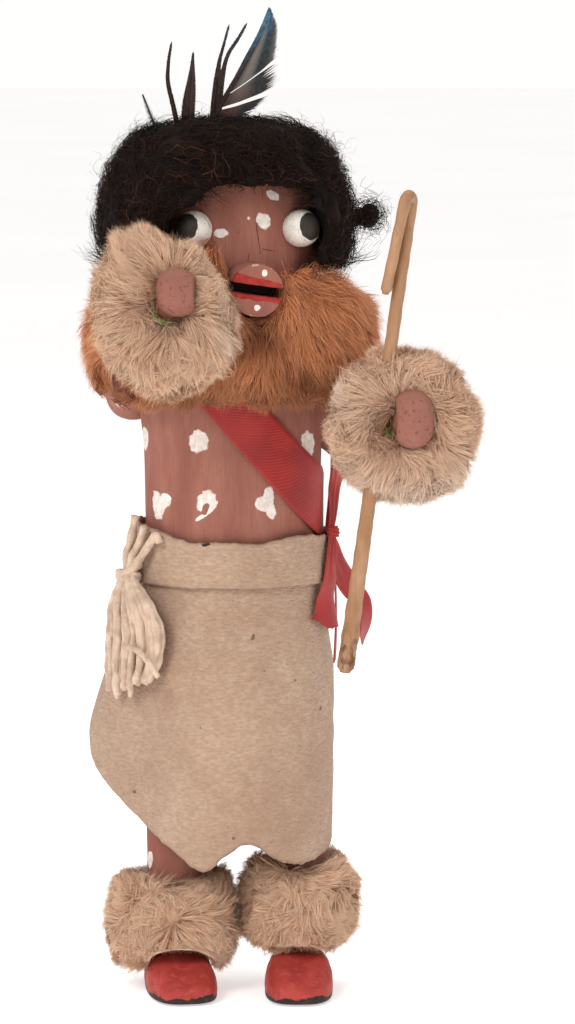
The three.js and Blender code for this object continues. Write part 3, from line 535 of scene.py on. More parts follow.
def makeLipPaint():
    # the same tempera on a sawn dowel: mauve outside, red along both lips, red inside the sawn slot with painted
    # shade that deepens to near black down the slot
    made, tree, shader, place, local = newMaterial("temperaOnSawnDowel", "local", roughness=0.7, ior=1.46,
                                                   specular=0.35)
    axes = addNode(tree, "SeparateXYZ", {0: local}).outputs
    mauve, streaks = paintOverWood(tree, place)
    wobble = noiseAt(tree, place, 1.6, 4, low=0.2, high=0.8)
    # the upper lip's red is wide at the left and narrow at the right
    upper = sums(tree, "ADD", sums(tree, "MULTIPLY_ADD", axes[0], -0.11, 2.75), sums(tree, "MULTIPLY", wobble, 0.9))
    lower = sums(tree, "ADD", sums(tree, "MULTIPLY_ADD", axes[0], -0.02, -2.3), sums(tree, "MULTIPLY", wobble, -0.7))
    inUpper = sums(tree, "LESS_THAN", axes[1], upper)
    inLower = sums(tree, "GREATER_THAN", axes[1], lower)
    inFront = addNode(tree, "MapRange", {"From Min": -3.2, "From Max": -2.4, "Value": axes[2]}).outputs[0]
    lips = sums(tree, "MULTIPLY", sums(tree, "MULTIPLY", inUpper, inLower), inFront)
    red = blendColours(tree, noiseAt(tree, place, 1.2, 4), "#93261F", "#AF372D")
    colour = blendColours(tree, lips, mauve, red)
    # painted shade: inside the slot the colour goes to near black the deeper it lies
    inside = sums(tree, "LESS_THAN", sums(tree, "ABSOLUTE", axes[1]), face["slot"] / 2 - 0.03)
    depth = addNode(tree, "MapRange", {"From Min": -1.4, "From Max": -5.5, "Value": axes[2]}).outputs[0]
    colour = blendColours(tree, sums(tree, "MULTIPLY", inside, depth), colour, "#22090A")
    # darker towards the root of the peg, where it meets the face
    back = addNode(tree, "MapRange", {"From Min": -4.2, "From Max": -9, "Value": axes[2]}).outputs[0]
    darkerTowardsRoot = sums(tree, "MULTIPLY", sums(tree, "SUBTRACT", 1.0, inside), sums(tree, "MULTIPLY", back, 0.25))
    colour = blendColours(tree, darkerTowardsRoot, colour, "#5A3433")
    dab = nearestBall(tree, local, [((1.2, 4.7, 0), (0.75, 0.95, 1.5), 0), ((0.5, -4.4, 0), (0.8, 0.9, 1.5), 0)])
    dab = sums(tree, "LESS_THAN", sums(tree, "MULTIPLY_ADD", wobble, 0.5, dab), 1.25)
    rim = sums(tree, "GREATER_THAN", noiseAt(tree, place, 2.2, 3), 0.93)  # chips on the rim show white wood
    colour = blendColours(tree, dab, colour, "#F1E6DC")
    offAxis = addNode(tree, "VectorMath", {"operation": "MULTIPLY", 1: (1, 1, 0), 0: local})
    edge = addNode(tree, "VectorMath", {"operation": "LENGTH", 0: offAxis.outputs[0]}).outputs["Value"]
    atRim = addNode(tree, "MapRange", {"From Min": 6.2, "From Max": 6.6, "Value": edge}).outputs[0]
    chips = sums(tree, "MULTIPLY", sums(tree, "MULTIPLY", rim, atRim), inFront)
    colour = tint(tree, colour, chips, 0.75, "#CDB49B")
    tree.links.new(colour, shader.inputs["Base Color"])
    height = sums(tree, "ADD", sums(tree, "MULTIPLY", streaks, -0.5), sums(tree, "MULTIPLY", dab, 0.8))
    relief(tree, shader, height, 0.12, 0.7)
    return made


# Arms with their fists

arms = {
    "right": {"sign": -1, "elbow": (-27.5, 0.9, 159.6), "fist": (-13.2, -52.0, 190.2), "halves": (5.7, 5.2, 6.4)},
    "left": {"sign": 1, "elbow": (35.5, 0.9, 145.0), "fist": (46.8, -49.0, 157.8), "halves": (5.7, 5.2, 7.8)},
}


def armPiece(side):
    arm = arms[side]
    root = (arm["sign"] * torsoRadius * 0.4, 1, 165.6)
    line = spline([root, arm["elbow"], arm["fist"]], 40)
    share = np.linspace(0, 1, 40)
    limb = turnedTube(line, mix(6.4, 4.6, smooth(share, 0.3, 0.9)) - 0.05, 24)
    hand, handFaces = turnedBall(26, 36)
    hand = hand[:, [0, 2, 1]]
    hand = np.sign(hand) * np.abs(hand) ** 0.86 * arm["halves"]
    flat = arm["halves"][0] * 0.78
    hand[:, 0] = np.minimum(hand[:, 0], flat) if arm["sign"] < 0 else np.maximum(hand[:, 0], -flat)
    hand = hand * 0.985 + arm["fist"]
    meshes = [makeMesh("limb", *limb), makeMesh("hand", hand, handFaces)]
    points, faces, normals = roundedForm(meshes, 0.62, 3)
    nearFist = np.exp(-(lengthOf(points - arm["fist"]) / 8) ** 4)
    carving = 0.1 * softNoise(points, 6, 31) + nearFist * 0.12 * softNoise(points, 2.4, 33)
    points = points + normals * (carving - 0.1)[:, None]
    addPiece(f"painted_arm_{side}", points, faces, {"fist": nearFist}, handPaint, [f"arm_{side}"], "body_paint")


def makeHandPaint():
    # tempera on the carved arms, handled more: grime in the pores and dark rub marks on the fists
    made, tree, shader, place, onFist = newMaterial("handledTemperaOnCottonwood", "fist", roughness=0.72, ior=1.46,
                                                    specular=0.35)
    colour, streaks = paintOverWood(tree, place)
    pits = noiseAt(tree, place, 1.0, 4, low=0.58, high=0.68)
    dark = sums(tree, "MULTIPLY", sums(tree, "MULTIPLY", pits, onFist), 0.6)
    colour = tint(tree, colour, onFist, 0.7, "#89574A")
    colour = blendColours(tree, dark, colour, "#43292A")
    shapes = [((-29.3, -4.5, 158.9), (2.1, 4, 2.1), 0), ((-33.2, -1, 161.5), (0.8, 4, 1.3), 0),
              ((39.5, -4, 146), (1.6, 4, 2.2), 12), ((-33, 5, 163), (1.8, 4, 2.0), 0)]
    dabs = spots(tree, place, shapes)
    tree.links.new(blendColours(tree, dabs, colour, "#EADACF"), shader.inputs["Base Color"])
    height = sums(tree, "ADD", sums(tree, "MULTIPLY", streaks, -0.4), sums(tree, "MULTIPLY", pits, -0.8))
    relief(tree, shader, height, 0.14, 0.8)
    return made


def forearm(arm, back):  # which way it points, and the place that far behind the middle of its fist
    way = unit(np.array(arm["fist"], float) - arm["elbow"])
    return way, np.array(arm["fist"], float) - way * back


wrist = {"behindFist": 6.7, "radius": 6.1, "plyRadius": 0.42, "twist": 0.38, "turns": 9, "tip": (0.36, 0.22)}


def wristYarn(side):
    way, middle = forearm(arms[side], wrist["behindFist"])
    across = unit(np.cross(way, (0, 0, 1)))
    other = np.cross(way, across)
    angle = np.linspace(0, 2 * math.pi, 121)
    parts = []
    for ply in (0, math.pi):  # two plies twisted together, and a knot end that sticks forward
        wind = angle * wrist["turns"] + ply
        reach = wrist["radius"] + wrist["twist"] * np.cos(wind)
        ring = middle + across * (np.cos(angle) * reach)[:, None] + other * (np.sin(angle) * reach)[:, None]
        ring = ring + way * (wrist["twist"] * np.sin(wind))[:, None]
        parts.append(turnedTube(ring, np.full(121, wrist["plyRadius"]), 8))
    tipWay = np.array((0.75 if side == "left" else 0.9, -0.6, -0.5 if side == "left" else -0.25))
    start = middle + unit(tipWay * (1, 0.2, 1)) * 6.0
    for k in range(3):
        bend = np.array((0.3 * k, 0.15 * k, 0.8 - 0.6 * k))
        end = spline([start, start + tipWay * 2.6 + bend * 0.4, start + tipWay * 6.0 + bend], 10)
        parts.append(turnedTube(end, np.linspace(*wrist["tip"], 10), 6))
    addPiece(f"green_yarn_{side}", *joined(parts), None, greenYarn, [f"wrist_yarn_{side}"], "green_yarn")


def makeYarn(name, dark, light):
    # soft spun wool, two plies: fibres lie along each ply and leave a matt, slightly furry surface
    made, tree, shader, place = newMaterial(name, roughness=0.9, ior=1.5, sheen=0.25, sheenRoughness=0.5,
                                            specular=0.2)
    tone = noiseAt(tree, place, 3.5, 3)
    fibres = noiseAt(tree, place, 0.35, 3, low=0.3, high=0.7)
    colour = blendColours(tree, tone, dark, light)
    colour = tint(tree, colour, fibres, 0.3, dark)
    tree.links.new(colour, shader.inputs["Base Color"])
    relief(tree, shader, fibres, 0.1, 0.6)
    return made


# Moccasins

moccasins = {
    "length": 37.0, "width": 18.4, "setBack": 8.0, "toeHeight": 6.6, "ankle": 10.65,
    "layers": [(0, 0.94), (0.03, 0.985), (0.1, 1), (0.32, 1), (0.62, 0.96), (0.86, 0.82), (0.96, 0.7), (1, 0.62)],
    "right": {"sign": -1, "toeIn": 10, "axis": -15.7}, "left": {"sign": 1, "toeIn": 0, "axis": 17.7},
}


def moccasin(side):
    foot = moccasins[side]
    turn = math.radians(-foot["sign"] * foot["toeIn"])
    rises = np.linspace(0, 1, 26)
    shares = through(moccasins["layers"], rises)
    rises, shares = np.r_[0, rises, 1], np.r_[0.01, shares, 0.01]
    angle = circle(96)
    ahead, aside = np.cos(angle), np.sin(angle)
    square = 1 / (np.abs(ahead) ** 3 + np.abs(aside) ** 3) ** (1 / 3)
    heel = 1 - 0.14 * smooth(-ahead, -0.3, 1)
    x = (aside * square * heel)[None] * shares[:, None] * moccasins["width"] / 2
    y = -(ahead * square)[None] * shares[:, None] * moccasins["length"] / 2
    toes = smooth(-y, moccasins["length"] * -0.05, moccasins["length"] * 0.5)
    z = rises[:, None] * mix(moccasins["ankle"], moccasins["toeHeight"], toes)
    points = np.stack([x, y, z], -1).reshape(-1, 3)
    # whittled: broad flats round the toe
    cut = 0.22 * softNoise(points * (1, 1, 0.6), 6, 41 + foot["sign"]) * smooth(points[:, 2], 0.3, 2.5)
    points = points + unit(points - (0, 0, 3)) * (cut - 0.1)[:, None]
    points[:, 2] = np.maximum(points[:, 2], 0)
    c, s = math.cos(turn), math.sin(turn)
    local = points.copy()
    points[:, 0], points[:, 1] = local[:, 0] * c - local[:, 1] * s, local[:, 0] * s + local[:, 1] * c
    back = moccasins["setBack"]
    points = points + (foot["axis"] + math.sin(turn) * back, -math.cos(turn) * back, 0)
    addPiece(f"painted_moccasin_{side}", points, gridFaces(len(rises), len(angle), True), {"local": local}, shoePaint,
             [f"moccasin_{side}"], "red_paint")


def makeShoePaint():
    # tempera on carved wood: worn brick red, with a black sole line put on by brush
    made, tree, shader, place, local = newMaterial("redTemperaOnCarvedWood", "local", roughness=0.62, ior=1.47,
                                                   specular=0.4)
    axes = addNode(tree, "SeparateXYZ", {0: local}).outputs
    broad = noiseAt(tree, place, 5, 4)
    rub = noiseAt(tree, place, 2.2, 5, low=0.52, high=0.7)
    scratches = noiseAt(tree, place, 0.7, 4, (0.35, 1, 1), 0.6, 0.7)
    red = blendColours(tree, broad, "#A0312B", "#B54037")
    red = tint(tree, red, rub, 0.5, "#C35E50")
    red = tint(tree, red, scratches, 0.6, "#6A1F1E")
    line = addNode(tree, "TexNoise", {"Scale": 0.32, "Detail": 3, "Vector": local}).outputs["Fac"]
    sole = sums(tree, "MULTIPLY_ADD", line, 3.4, 0.0)
    above = sums(tree, "SUBTRACT", axes[2], sole)
    isSole = addNode(tree, "MapRange", {"From Min": 0.12, "From Max": -0.12, "Value": above}).outputs[0]
    black = blendColours(tree, rub, "#241A18", "#3D2B26")
    tree.links.new(blendColours(tree, isSole, red, black), shader.inputs["Base Color"])
    relief(tree, shader, sums(tree, "ADD", broad, sums(tree, "MULTIPLY", scratches, -0.6)), 0.12, 0.8)
    return made


# Crook: a peeled switch with its end bent back on itself

crook = {"top": (46.12, -44.91, 212.28), "foot": (29.55, -43.1, 91.5), "radius": 1.7, "footRadius": 2.15,
         "returnRadius": 1.45, "bend": 2.15, "return": 23.0}


def crookPiece():
    top, foot = np.array(crook["top"]), np.array(crook["foot"])
    down, back = unit(foot - top), unit(np.array((-0.45, -1.0, 0)))
    line = [mix(foot, top, i / 5) for i in range(5)]
    for i in range(7):
        angle = math.pi * i / 6
        line.append(top + back * crook["bend"] * (1 - math.cos(angle)) - down * crook["bend"] * math.sin(angle))
    line.append(line[-1] + down * crook["return"] + np.array((-1.61, 1.61, 0)))
    path = evenly(spline(line, 900), 260)
    travel = np.linspace(0, 1, 260)
    total = float(lengthOf(np.diff(path, axis=0)).sum())
    hook = smooth(travel * total, total - crook["return"] * 1.3, total - crook["return"] * 0.7)
    radii = mix(mix(crook["footRadius"], crook["radius"], smooth(travel, 0, 0.5)), crook["returnRadius"], hook)
    ends = np.sqrt(np.clip(np.minimum(travel, 1 - travel) * total / 1.2, 0.35, 1))
    knots = sum(a * np.exp(-((travel * total - at) / w) ** 2) for at, w, a in
                ((3, 2.5, 0.16), (9.5, 1.6, 0.22), (16, 1.3, 0.12), (48, 1.4, 0.08), (83, 1.2, 0.06)))
    points, faces = turnedTube(path, radii * (ends + knots * 0.6) * 0.985, 20)
    ringTravel = np.r_[np.repeat(travel * total, 20), 0, total]
    bark = smooth(-ringTravel, -17, -6) * (0.6 + 0.4 * softNoise(points, 2, 51))
    wobble = 0.07 * softNoise(points, 3.5, 52) + bark * 0.16 * softNoise(points, 1.2, 53)
    centre = np.concatenate([np.repeat(path, 20, 0), path[:1], path[-1:]])
    points = points + unit(points - centre) * wobble[:, None]
    addPiece("peeled_crook", points, faces, {"bark": np.clip(bark, 0, 1)}, peeledWood, ["crook"], "bare_wood")


def makePeeledWood():
    # willow switch with its bark scraped off: smooth tan wood, fine grain along it, brown where bark stayed
    made, tree, shader, place, bark = newMaterial("peeledWillow", "bark", roughness=0.5, ior=1.5, specular=0.45)
    grain = noiseAt(tree, place, 0.5, 4, (1, 1, 0.05), 0.3, 0.7)
    broad = noiseAt(tree, place, 6, 3, (1, 1, 0.4))
    colour = blendColours(tree, broad, "#A37551", "#B98F6B")
    colour = tint(tree, colour, grain, 0.35, "#7F5436")
    patch = sums(tree, "MULTIPLY", bark, noiseAt(tree, place, 1.5, 4, (1, 1, 0.4), 0.44, 0.54))
    colour = tint(tree, colour, patch, 0.9, "#552C1A")
    flecks = noiseAt(tree, place, 1.3, 3, (1, 1, 0.3), 0.66, 0.72)
    colour = tint(tree, colour, flecks, 0.6, "#7A4A2E")
    tree.links.new(colour, shader.inputs["Base Color"])
    tree.links.new(sums(tree, "MULTIPLY_ADD", patch, 0.25, 0.48), shader.inputs["Roughness"])
    relief(tree, shader, sums(tree, "ADD", grain, patch), 0.08, 0.6)
    return made


# Fur and wool. Each hair is a thin flat blade that tapers to nothing, grown through a padded skin.

fur = {"width": 0.19, "lumps": 1.2, "curved": 0.27, "bend": 0.24}  # curved: share of hairs with a bend in them


def scatter(points, faces, normals, count, chance):
    corners = points[faces]
    area = lengthOf(np.cross(corners[:, 1] - corners[:, 0], corners[:, 2] - corners[:, 0]))
    picked = chance.choice(len(faces), count, p=area / area.sum())
    a, b = chance.random((2, count))
    a, b = np.where(a + b > 1, 1 - a, a), np.where(a + b > 1, 1 - b, b)
    weights = np.stack([1 - a - b, a, b], 1)[..., None]
    return (points[faces[picked]] * weights).sum(1), unit((normals[faces[picked]] * weights).sum(1))


def blades(paths, widths, sideways):  # paths: hairs, steps, 3. The last step is the tip.
    count, steps, _ = paths.shape
    left = paths[:, :-1] + sideways[:, :-1] * widths[:, :-1, None] / 2
    right = paths[:, :-1] - sideways[:, :-1] * widths[:, :-1, None] / 2
    points = np.concatenate([np.stack([left, right], 2).reshape(count, -1, 3), paths[:, -1:]], 1)
    each = 2 * (steps - 1) + 1
    quads = [(2 * k, 2 * k + 1, 2 * k + 3, 2 * k + 2) for k in range(steps - 2)]
    tip = [(2 * (steps - 2), 2 * (steps - 2) + 1, each - 1)]
    start = (np.arange(count) * each)[:, None, None]
    faces = [(np.array(quads)[None] + start).reshape(-1, 4)] if quads else []
    faces.append((np.array(tip)[None] + start).reshape(-1, 3))
    return points.reshape(-1, 3), faces, each


def gatherTips(tips, every, amount, chance):  # pulls each tip some way to the nearest of a few chosen tips
    chosen = chance.choice(len(tips), max(1, len(tips) // every), replace=False)
    tree = KDTree(len(chosen))
    for k, c in enumerate(chosen):
        tree.insert(tips[c], k)
    tree.balance()
    nearest, far = np.array([tree.find(t)[1:] for t in tips]).T
    pull = tips[chosen[nearest.astype(int)]] - tips
    return tips + pull * (amount * (far < 3))[:, None]


def clearOfMouth(points):  # fur is pushed aside by the peg
    way, middle = facing(), np.array((0, 0, face["mouthLevel"]))
    rel = points - middle
    radial = rel - way * (rel @ way)[..., None]
    far = np.linalg.norm(radial, axis=-1, keepdims=True)
    push = np.maximum(face["mouthRadius"] + 0.8 - far, 0) * (rel @ way > 0)[..., None]
    return points + radial / np.maximum(far, 0.5) * push


def furPiece(name, node, look, comb, keep, tone, shape, material, slot):
    chance = np.random.default_rng(look["seed"])
    outer = roundedForm(node, 1.0, 4)
    skin = BVHTree.FromPolygons(outer[0].tolist(), outer[1].tolist())
    roots, normals = scatter(*outer, look["hairs"], chance)
    kept = keep(roots, normals)
    roots, normals = roots[kept], normals[kept]
    count = len(roots)

    def locks(points):  # the pelt lies in soft locks
        return (fur["lumps"] * softNoise(points, look["tuft"], look["seed"] + 5))[:, None]

    lie = comb(roots) + noiseVectors(roots, look["tuft"], look["seed"]) * look["wild"]
    lie = lie + chance.normal(size=lie.shape) * look["stray"]
    lie = unit(lie - normals * (lie * normals).sum(1, keepdims=True) * 0.95)
    length = (look["length"] * chance.uniform(0.65, 1.15, count))[:, None]
    found = [skin.find_nearest(end)[:2] for end in (roots + lie * length * 0.9).tolist()]
    over, overWay = (np.array([f[k] for f in found]) for k in (0, 1))
    proud = np.clip(chance.normal(0.1, 0.75, (count, 1)), -1.2, 2.2) * look["proud"] + locks(over)
    tips = gatherTips(over + overWay * proud, look["clump"], chance.uniform(*look["gather"], count), chance)
    start = roots - normals * (look["depth"] + 0.5 - locks(roots))
    bend = (start + tips) / 2 + unit(normals + overWay) * length * fur["bend"]
    side = np.cross(unit(tips - start), unit(normals + overWay))
    side = unit(side + chance.normal(size=(count, 3)) * 0.3)
    padded, paddedFaces, paddedNormals = roundedForm(node, 1.25, 5, look["depth"])
    padded = padded + paddedNormals * locks(padded)
    parts, along = [(shape(padded), paddedFaces)], [np.full(len(padded), 0.3)]
    strand, tones = [0.4 + 0.3 * softNoise(padded, 1.5, 9)], [tone(padded)]
    curved = chance.random(count) < fur["curved"]  # the rest show only their straight ends
    for chosen, steps in ((curved, np.array([0, 0.55, 1])), (~curved, np.array([0.3, 1]))):
        t = steps[None, :, None]
        a, b, c = (p[chosen][:, None] for p in (start, bend, tips))
        paths = shape(a * (1 - t) ** 2 + b * 2 * t * (1 - t) + c * t * t)
        widths = fur["width"] * chance.uniform(0.7, 1.3, (len(paths), 1)) * (1 - 0.25 * steps[None])
        hair, faces, each = blades(paths, widths, side[chosen][:, None] * np.ones_like(t))
        parts.append((hair, faces))
        along.append(np.tile(np.r_[np.repeat(0.25 + 0.75 * steps[:-1], 2), 1], len(paths)))
        strand.append(np.repeat(chance.random(len(paths)), each))
        tones.append(np.repeat(tone(roots[chosen]), each))
    points, faces = joined(parts)
    values = {"along": np.concatenate(along), "strand": np.concatenate(strand), "tone": np.concatenate(tones)}
    print("fur", name, sum(len(f) * (f.shape[1] - 2) for f in faces), "triangles")
    addPiece(name, points, faces, values, material, [node], slot)


def makeFur(name, root, middle, tip, pale):
    # tanned rabbit fur: dull dense underfur, lighter and silkier guard hairs at the tips; the darkening towards the
    # roots is partly that underfur and partly painted shade deep in the pelt
    made, tree, shader, place, along, strand, tone = newMaterial(
        name, "along", "strand", "tone", roughness=0.68, ior=1.55, sheen=0.12, sheenRoughness=0.45, specular=0.25)
    underfurAndDepthShade = addNode(tree, "ValToRGB", {"stops": [(0.1, root), (0.6, middle), (1.0, tip)], "Fac": along})
    light = addNode(tree, "ValToRGB", {"stops": [(0.1, pale[0]), (0.6, pale[1]), (1.0, pale[2])], "Fac": along})
    colour = blendColours(tree, tone, underfurAndDepthShade.outputs[0], light.outputs[0])
    patches = noiseAt(tree, place, 7, 3, low=0.35, high=0.7)
    colour = tint(tree, colour, patches, 0.28, middle)
    darker = addNode(tree, "MapRange", {"To Min": 0.8, "To Max": 1.14, "Value": strand}).outputs[0]
    shade = addNode(tree, "CombineColor", {0: darker, 1: darker, 2: darker}).outputs[0]
    colour = blendColours(tree, 1.0, colour, shade, "MULTIPLY")
    tree.links.new(colour, shader.inputs["Base Color"])
    return made


cuffs = {
    "hairs": 78000, "length": 9.0, "depth": 2.2, "tuft": 7.0, "wild": 0.7, "stray": 0.22,
    "proud": 1.5, "clump": 60, "gather": (0.15, 0.6), "seed": 61, "behindFist": 10.5,
    # the fur closes round the fist: distance from the wrist's axis on the skin, and where it stands
    "closed": [(0, 0), (7, 4.6), (10, 7.4), (13, 11.6), (16, 16), (40, 40)],
    # the right cuff is high at its outer side and low under the eye
    "crest": (3.4, -4.6),
    "rightAxis": (0, -1.0, 0.22), "leftAxis": (0, -1.0, 0.05),
    # the right cuff is pressed in beside the mouth: height, share of its width
    "squeeze": [(165, 1.0), (176, 0.95), (184, 0.84), (190, 0.74), (198, 0.7), (208, 0.82)],
}


def cuffPiece(side):
    arm = arms[side]
    axis = unit(np.array(cuffs[side + "Axis"], float))
    middle = forearm(arm, cuffs["behindFist"])[1]

    def comb(points):  # hairs radiate from the fist, forward where they are close to it
        out = points - middle - axis * ((points - middle) @ axis)[:, None]
        near = 1 - smooth(lengthOf(out), 6, 13)[:, None]
        return unit(out) * (1 - 1.1 * near) + axis * (0.1 + 1.2 * near) + (0, 0, -0.2)

    def keep(points, normals):  # not down the tunnel where the wrist goes through
        return (points - middle) @ axis > 1.5 - 9 * ((normals * unit(points - middle)).sum(1) > -0.1)

    def tone(points):  # whiter by the crook on the left cuff, and in the lobe under the mouth on the right one
        spot = np.array((30, -47, 160.5)) if side == "left" else np.array((0, -54, 181))
        near = np.exp(-(lengthOf((points - spot) * (1, 0.6, 1)) / (7 if side == "left" else 5)) ** 2)
        near = near + (smooth(-points[:, 2], -152, -139) if side == "left" else 0)
        return np.clip(near * 0.45 + 0.12 * softNoise(points, 9, 66), 0, 1)

    def shape(points):
        rel = points - middle
        ahead = (rel @ axis)[..., None] * axis
        reach = np.linalg.norm(rel - ahead, axis=-1, keepdims=True)
        closer = through(cuffs["closed"], reach) / np.maximum(reach, 0.1)
        front = smooth(rel @ axis, 0, 4)[..., None]
        points = middle + ahead + (rel - ahead) * mix(1.0, closer, front)
        if side == "right":
            x, z = points[..., 0], points[..., 2]
            crest = cuffs["crest"][0] * smooth(-x, 24, 33) + cuffs["crest"][1] * smooth(x, -26, -12)
            points = points + (crest * smooth(z, 186, 205))[..., None] * (0, 0, 1)
        from_ = points[..., 0] - arm["fist"][0]
        squeeze = np.where((from_ > 0) & (side == "right"), through(cuffs["squeeze"], points[..., 2]), 1)
        return np.stack([arm["fist"][0] + from_ * squeeze, points[..., 1], points[..., 2]], -1)

    look = dict(cuffs, seed=cuffs["seed"] + arm["sign"])
    furPiece(f"rabbit_cuff_{side}", f"fur_cuff_{side}", look, comb, keep, tone, shape, paleFur, "pale_fur")


anklets = {
    "hairs": 69000, "length": 7.5, "depth": 2.0, "tuft": 6.5, "wild": 1.15, "stray": 0.25,
    "proud": 1.3, "clump": 70, "gather": (0.2, 0.75), "seed": 71,
    # the hair stays above the toe: distance from the middle of the toe, height
    "overToe": [(0, 13.2), (5, 12.6), (8, 10), (10.5, 5), (13, 1.5)],
    # where the hair of each strip parts, in front
    "right": {"axis": -15.7, "middle": 18.4, "parting": (-18.8, -19, 22.5)},
    "left": {"axis": 17.7, "middle": 23.0, "parting": (15.5, -16, 36.5)},
}


def ankletPiece(side):
    ring = anklets[side]
    middle = np.array((ring["axis"], 0, ring["middle"]))

    def comb(points):  # away from the parting in front, down and round at the sides
        away = unit(points - ring["parting"])
        front = smooth(-points[:, 1], -2, 8)[:, None]
        out = unit((points - middle) * (1, 1, 0))
        rise = np.clip((points[:, 2] - ring["middle"]) / 12, -1, 1)[:, None] * (0, 0, 0.5)
        return away * 0.55 * front + (out * 0.4 + rise + (0, 0, -0.35)) * (1 - front) + (0, 0, -0.12)

    def keep(points, normals):
        out = unit((points - middle) * (1, 1, 0))
        reach = lengthOf((points - middle)[:, :2])
        return (((normals * out).sum(1) > -0.3) | (reach > 11)) & (points[:, 2] > 2.6)

    def tone(points):
        back = smooth(points[:, 1], 0, 13)
        inner = smooth(-np.abs(points[:, 0] - 1), -7, -1) * smooth(-points[:, 2], -18, -8)
        return np.clip(0.75 * back + 0.5 * inner + 0.12 * softNoise(points, 8, 77), 0, 1)

    def shape(points):
        toe = ring["axis"] + (2.0 if side == "right" else 1.0)
        low = through(anklets["overToe"], np.abs(points[..., 0] - toe))
        low = mix(1.2, low, smooth(-points[..., 1], 5, 12))
        rise = points[..., 2] - low - 2
        height = np.where(rise < 0, low + 2 * np.exp(np.minimum(rise, 0) / 2), points[..., 2])
        return np.stack([points[..., 0], points[..., 1], height], -1)

    look = dict(anklets, seed=anklets["seed"] + (1 if side == "left" else 0))
    furPiece(f"rabbit_anklet_{side}", f"fur_anklet_{side}", look, comb, keep, tone, shape, paleFur, "pale_fur")


collar = {
    "hairs": 95000, "length": 9.5, "depth": 2.6, "tuft": 8.0, "wild": 0.45, "stray": 0.25,
    "proud": 1.6, "clump": 40, "gather": (0.1, 0.45), "seed": 81, "cheeks": 5.5, "besideMouth": 8.0,
}


def collarPiece():
    def comb(points):  # away from the mouth, hanging down at the lower edge
        away = unit(points - (2, -14, 191))
        low = smooth(-points[:, 2], -182, -166)[:, None]
        return away * (1 - 0.4 * low) + (0, 0, -0.25) + low * (0, 0, -0.5)

    def keep(points, normals):
        out = unit(points * (1, 1, 0))
        reach = np.hypot(points[:, 0], points[:, 1])
        return ((normals * out).sum(1) > -0.3) | (reach > 31) | (points[:, 2] > 183.5)

    def tone(points):  # lighter towards the cheeks, dark at the lower edge, with a painted shadow under the mouth peg
        x, y, z = points.T
        # painted shadow: the russet fur turns dark just under the mouth peg
        shadowUnderMouth = 0.9 * np.exp(-((x - 7) / 11) ** 2 - ((z - 180) / 5) ** 2) * (y < 0)
        return np.clip(0.85 - smooth(z, 164, 181) + shadowUnderMouth + 0.35 * softNoise(points, 9, 88) - 0.08, 0, 1)

    def shape(points):  # in front the fur stands up over the cheeks, outside the wood
        x, y, z = np.moveaxis(points, -1, 0)
        tuft = collar["besideMouth"] * np.exp(-((x + 5) / 5) ** 2) * smooth(-y, 8, 18)
        z = z + (collar["cheeks"] * smooth(-y, 4, 17) + tuft) * smooth(z, 178, 189)
        radius = figureRadius(z) + 0.4
        inside = np.hypot(x / radius, y / (radius * figureDepth(z)))
        out = np.where(z > 181, np.maximum(1, 1 / np.maximum(inside, 0.4)), 1)
        return clearOfMouth(np.stack([x * out, y * out, z], -1))

    furPiece("rabbit_collar", "fur_collar", collar, comb, keep, tone, shape, redFur, "red_fur")


# Wig: teased black wool over the crown, and the feathers in it

wig = {
    "strands": 12600, "length": 11.0, "width": 0.2, "depth": 2.6, "lumps": 1.5, "tuft": 9.0, "curl": 0.75,
    "waves": 1.7, "strays": 1100, "strayLength": 7.5, "middle": (-1.6, 0, 203.0), "seed": 91,
    "lock": (36.5, 4.6, 207.1), "lockRadius": 6.5,  # the loose lock at the left
}


def woolPaths(points, normals, length, curl, steps, chance, lift, curve=34.0):
    count = len(points)
    flow = noiseVectors(points, 16, 93) + chance.normal(size=points.shape) * 0.45
    flow = unit(flow - normals * (flow * normals).sum(1, keepdims=True))
    side = np.cross(normals, flow)
    t = np.linspace(0, 1, steps)[None, :, None]
    reach = (length * chance.uniform(0.6, 1.25, count))[:, None, None]
    turn = (chance.uniform(0, 2 * math.pi, count)[:, None, None] + t * 2 * math.pi * wig["waves"]
            * chance.uniform(0.6, 1.4, count)[:, None, None])
    swing = curl * chance.uniform(0.4, 1.5, count)[:, None, None]
    start = points - normals * chance.uniform(0.4, 2.2, count)[:, None]
    paths = start[:, None] + flow[:, None] * (t * reach) + side[:, None] * np.sin(turn) * swing
    drop = (t * reach) ** 2 / (2 * curve)
    rise = lift * chance.uniform(0.0, 1.0, count)[:, None, None]
    paths = paths + normals[:, None] * (np.cos(turn) * swing * 0.6 + rise * np.sin(t * 2.6) - drop)
    along = unit(np.gradient(paths, axis=1))
    flat = unit(np.cross(along, normals[:, None]) + chance.normal(size=(count, 1, 3)) * 0.5)
    return paths, unit(flat - along * (flat * along).sum(-1, keepdims=True))


def offEyes(points, reach):  # the wool is tucked round the eye balls
    for sign in (-1, 1):
        axis = unit(facing(sign * face["eyeSpread"]) + (0, -1.6, 0))
        rel = points - (facing(sign * face["eyeSpread"]) * 24 + (0, 0, face["eyeLevel"]))
        ahead = rel @ axis
        side = rel - ahead[..., None] * axis
        far = np.linalg.norm(side, axis=-1, keepdims=True)
        points = points + side / np.maximum(far, 0.3) * np.maximum(reach - far, 0) * smooth(ahead, -5, -1)[..., None]
    return points


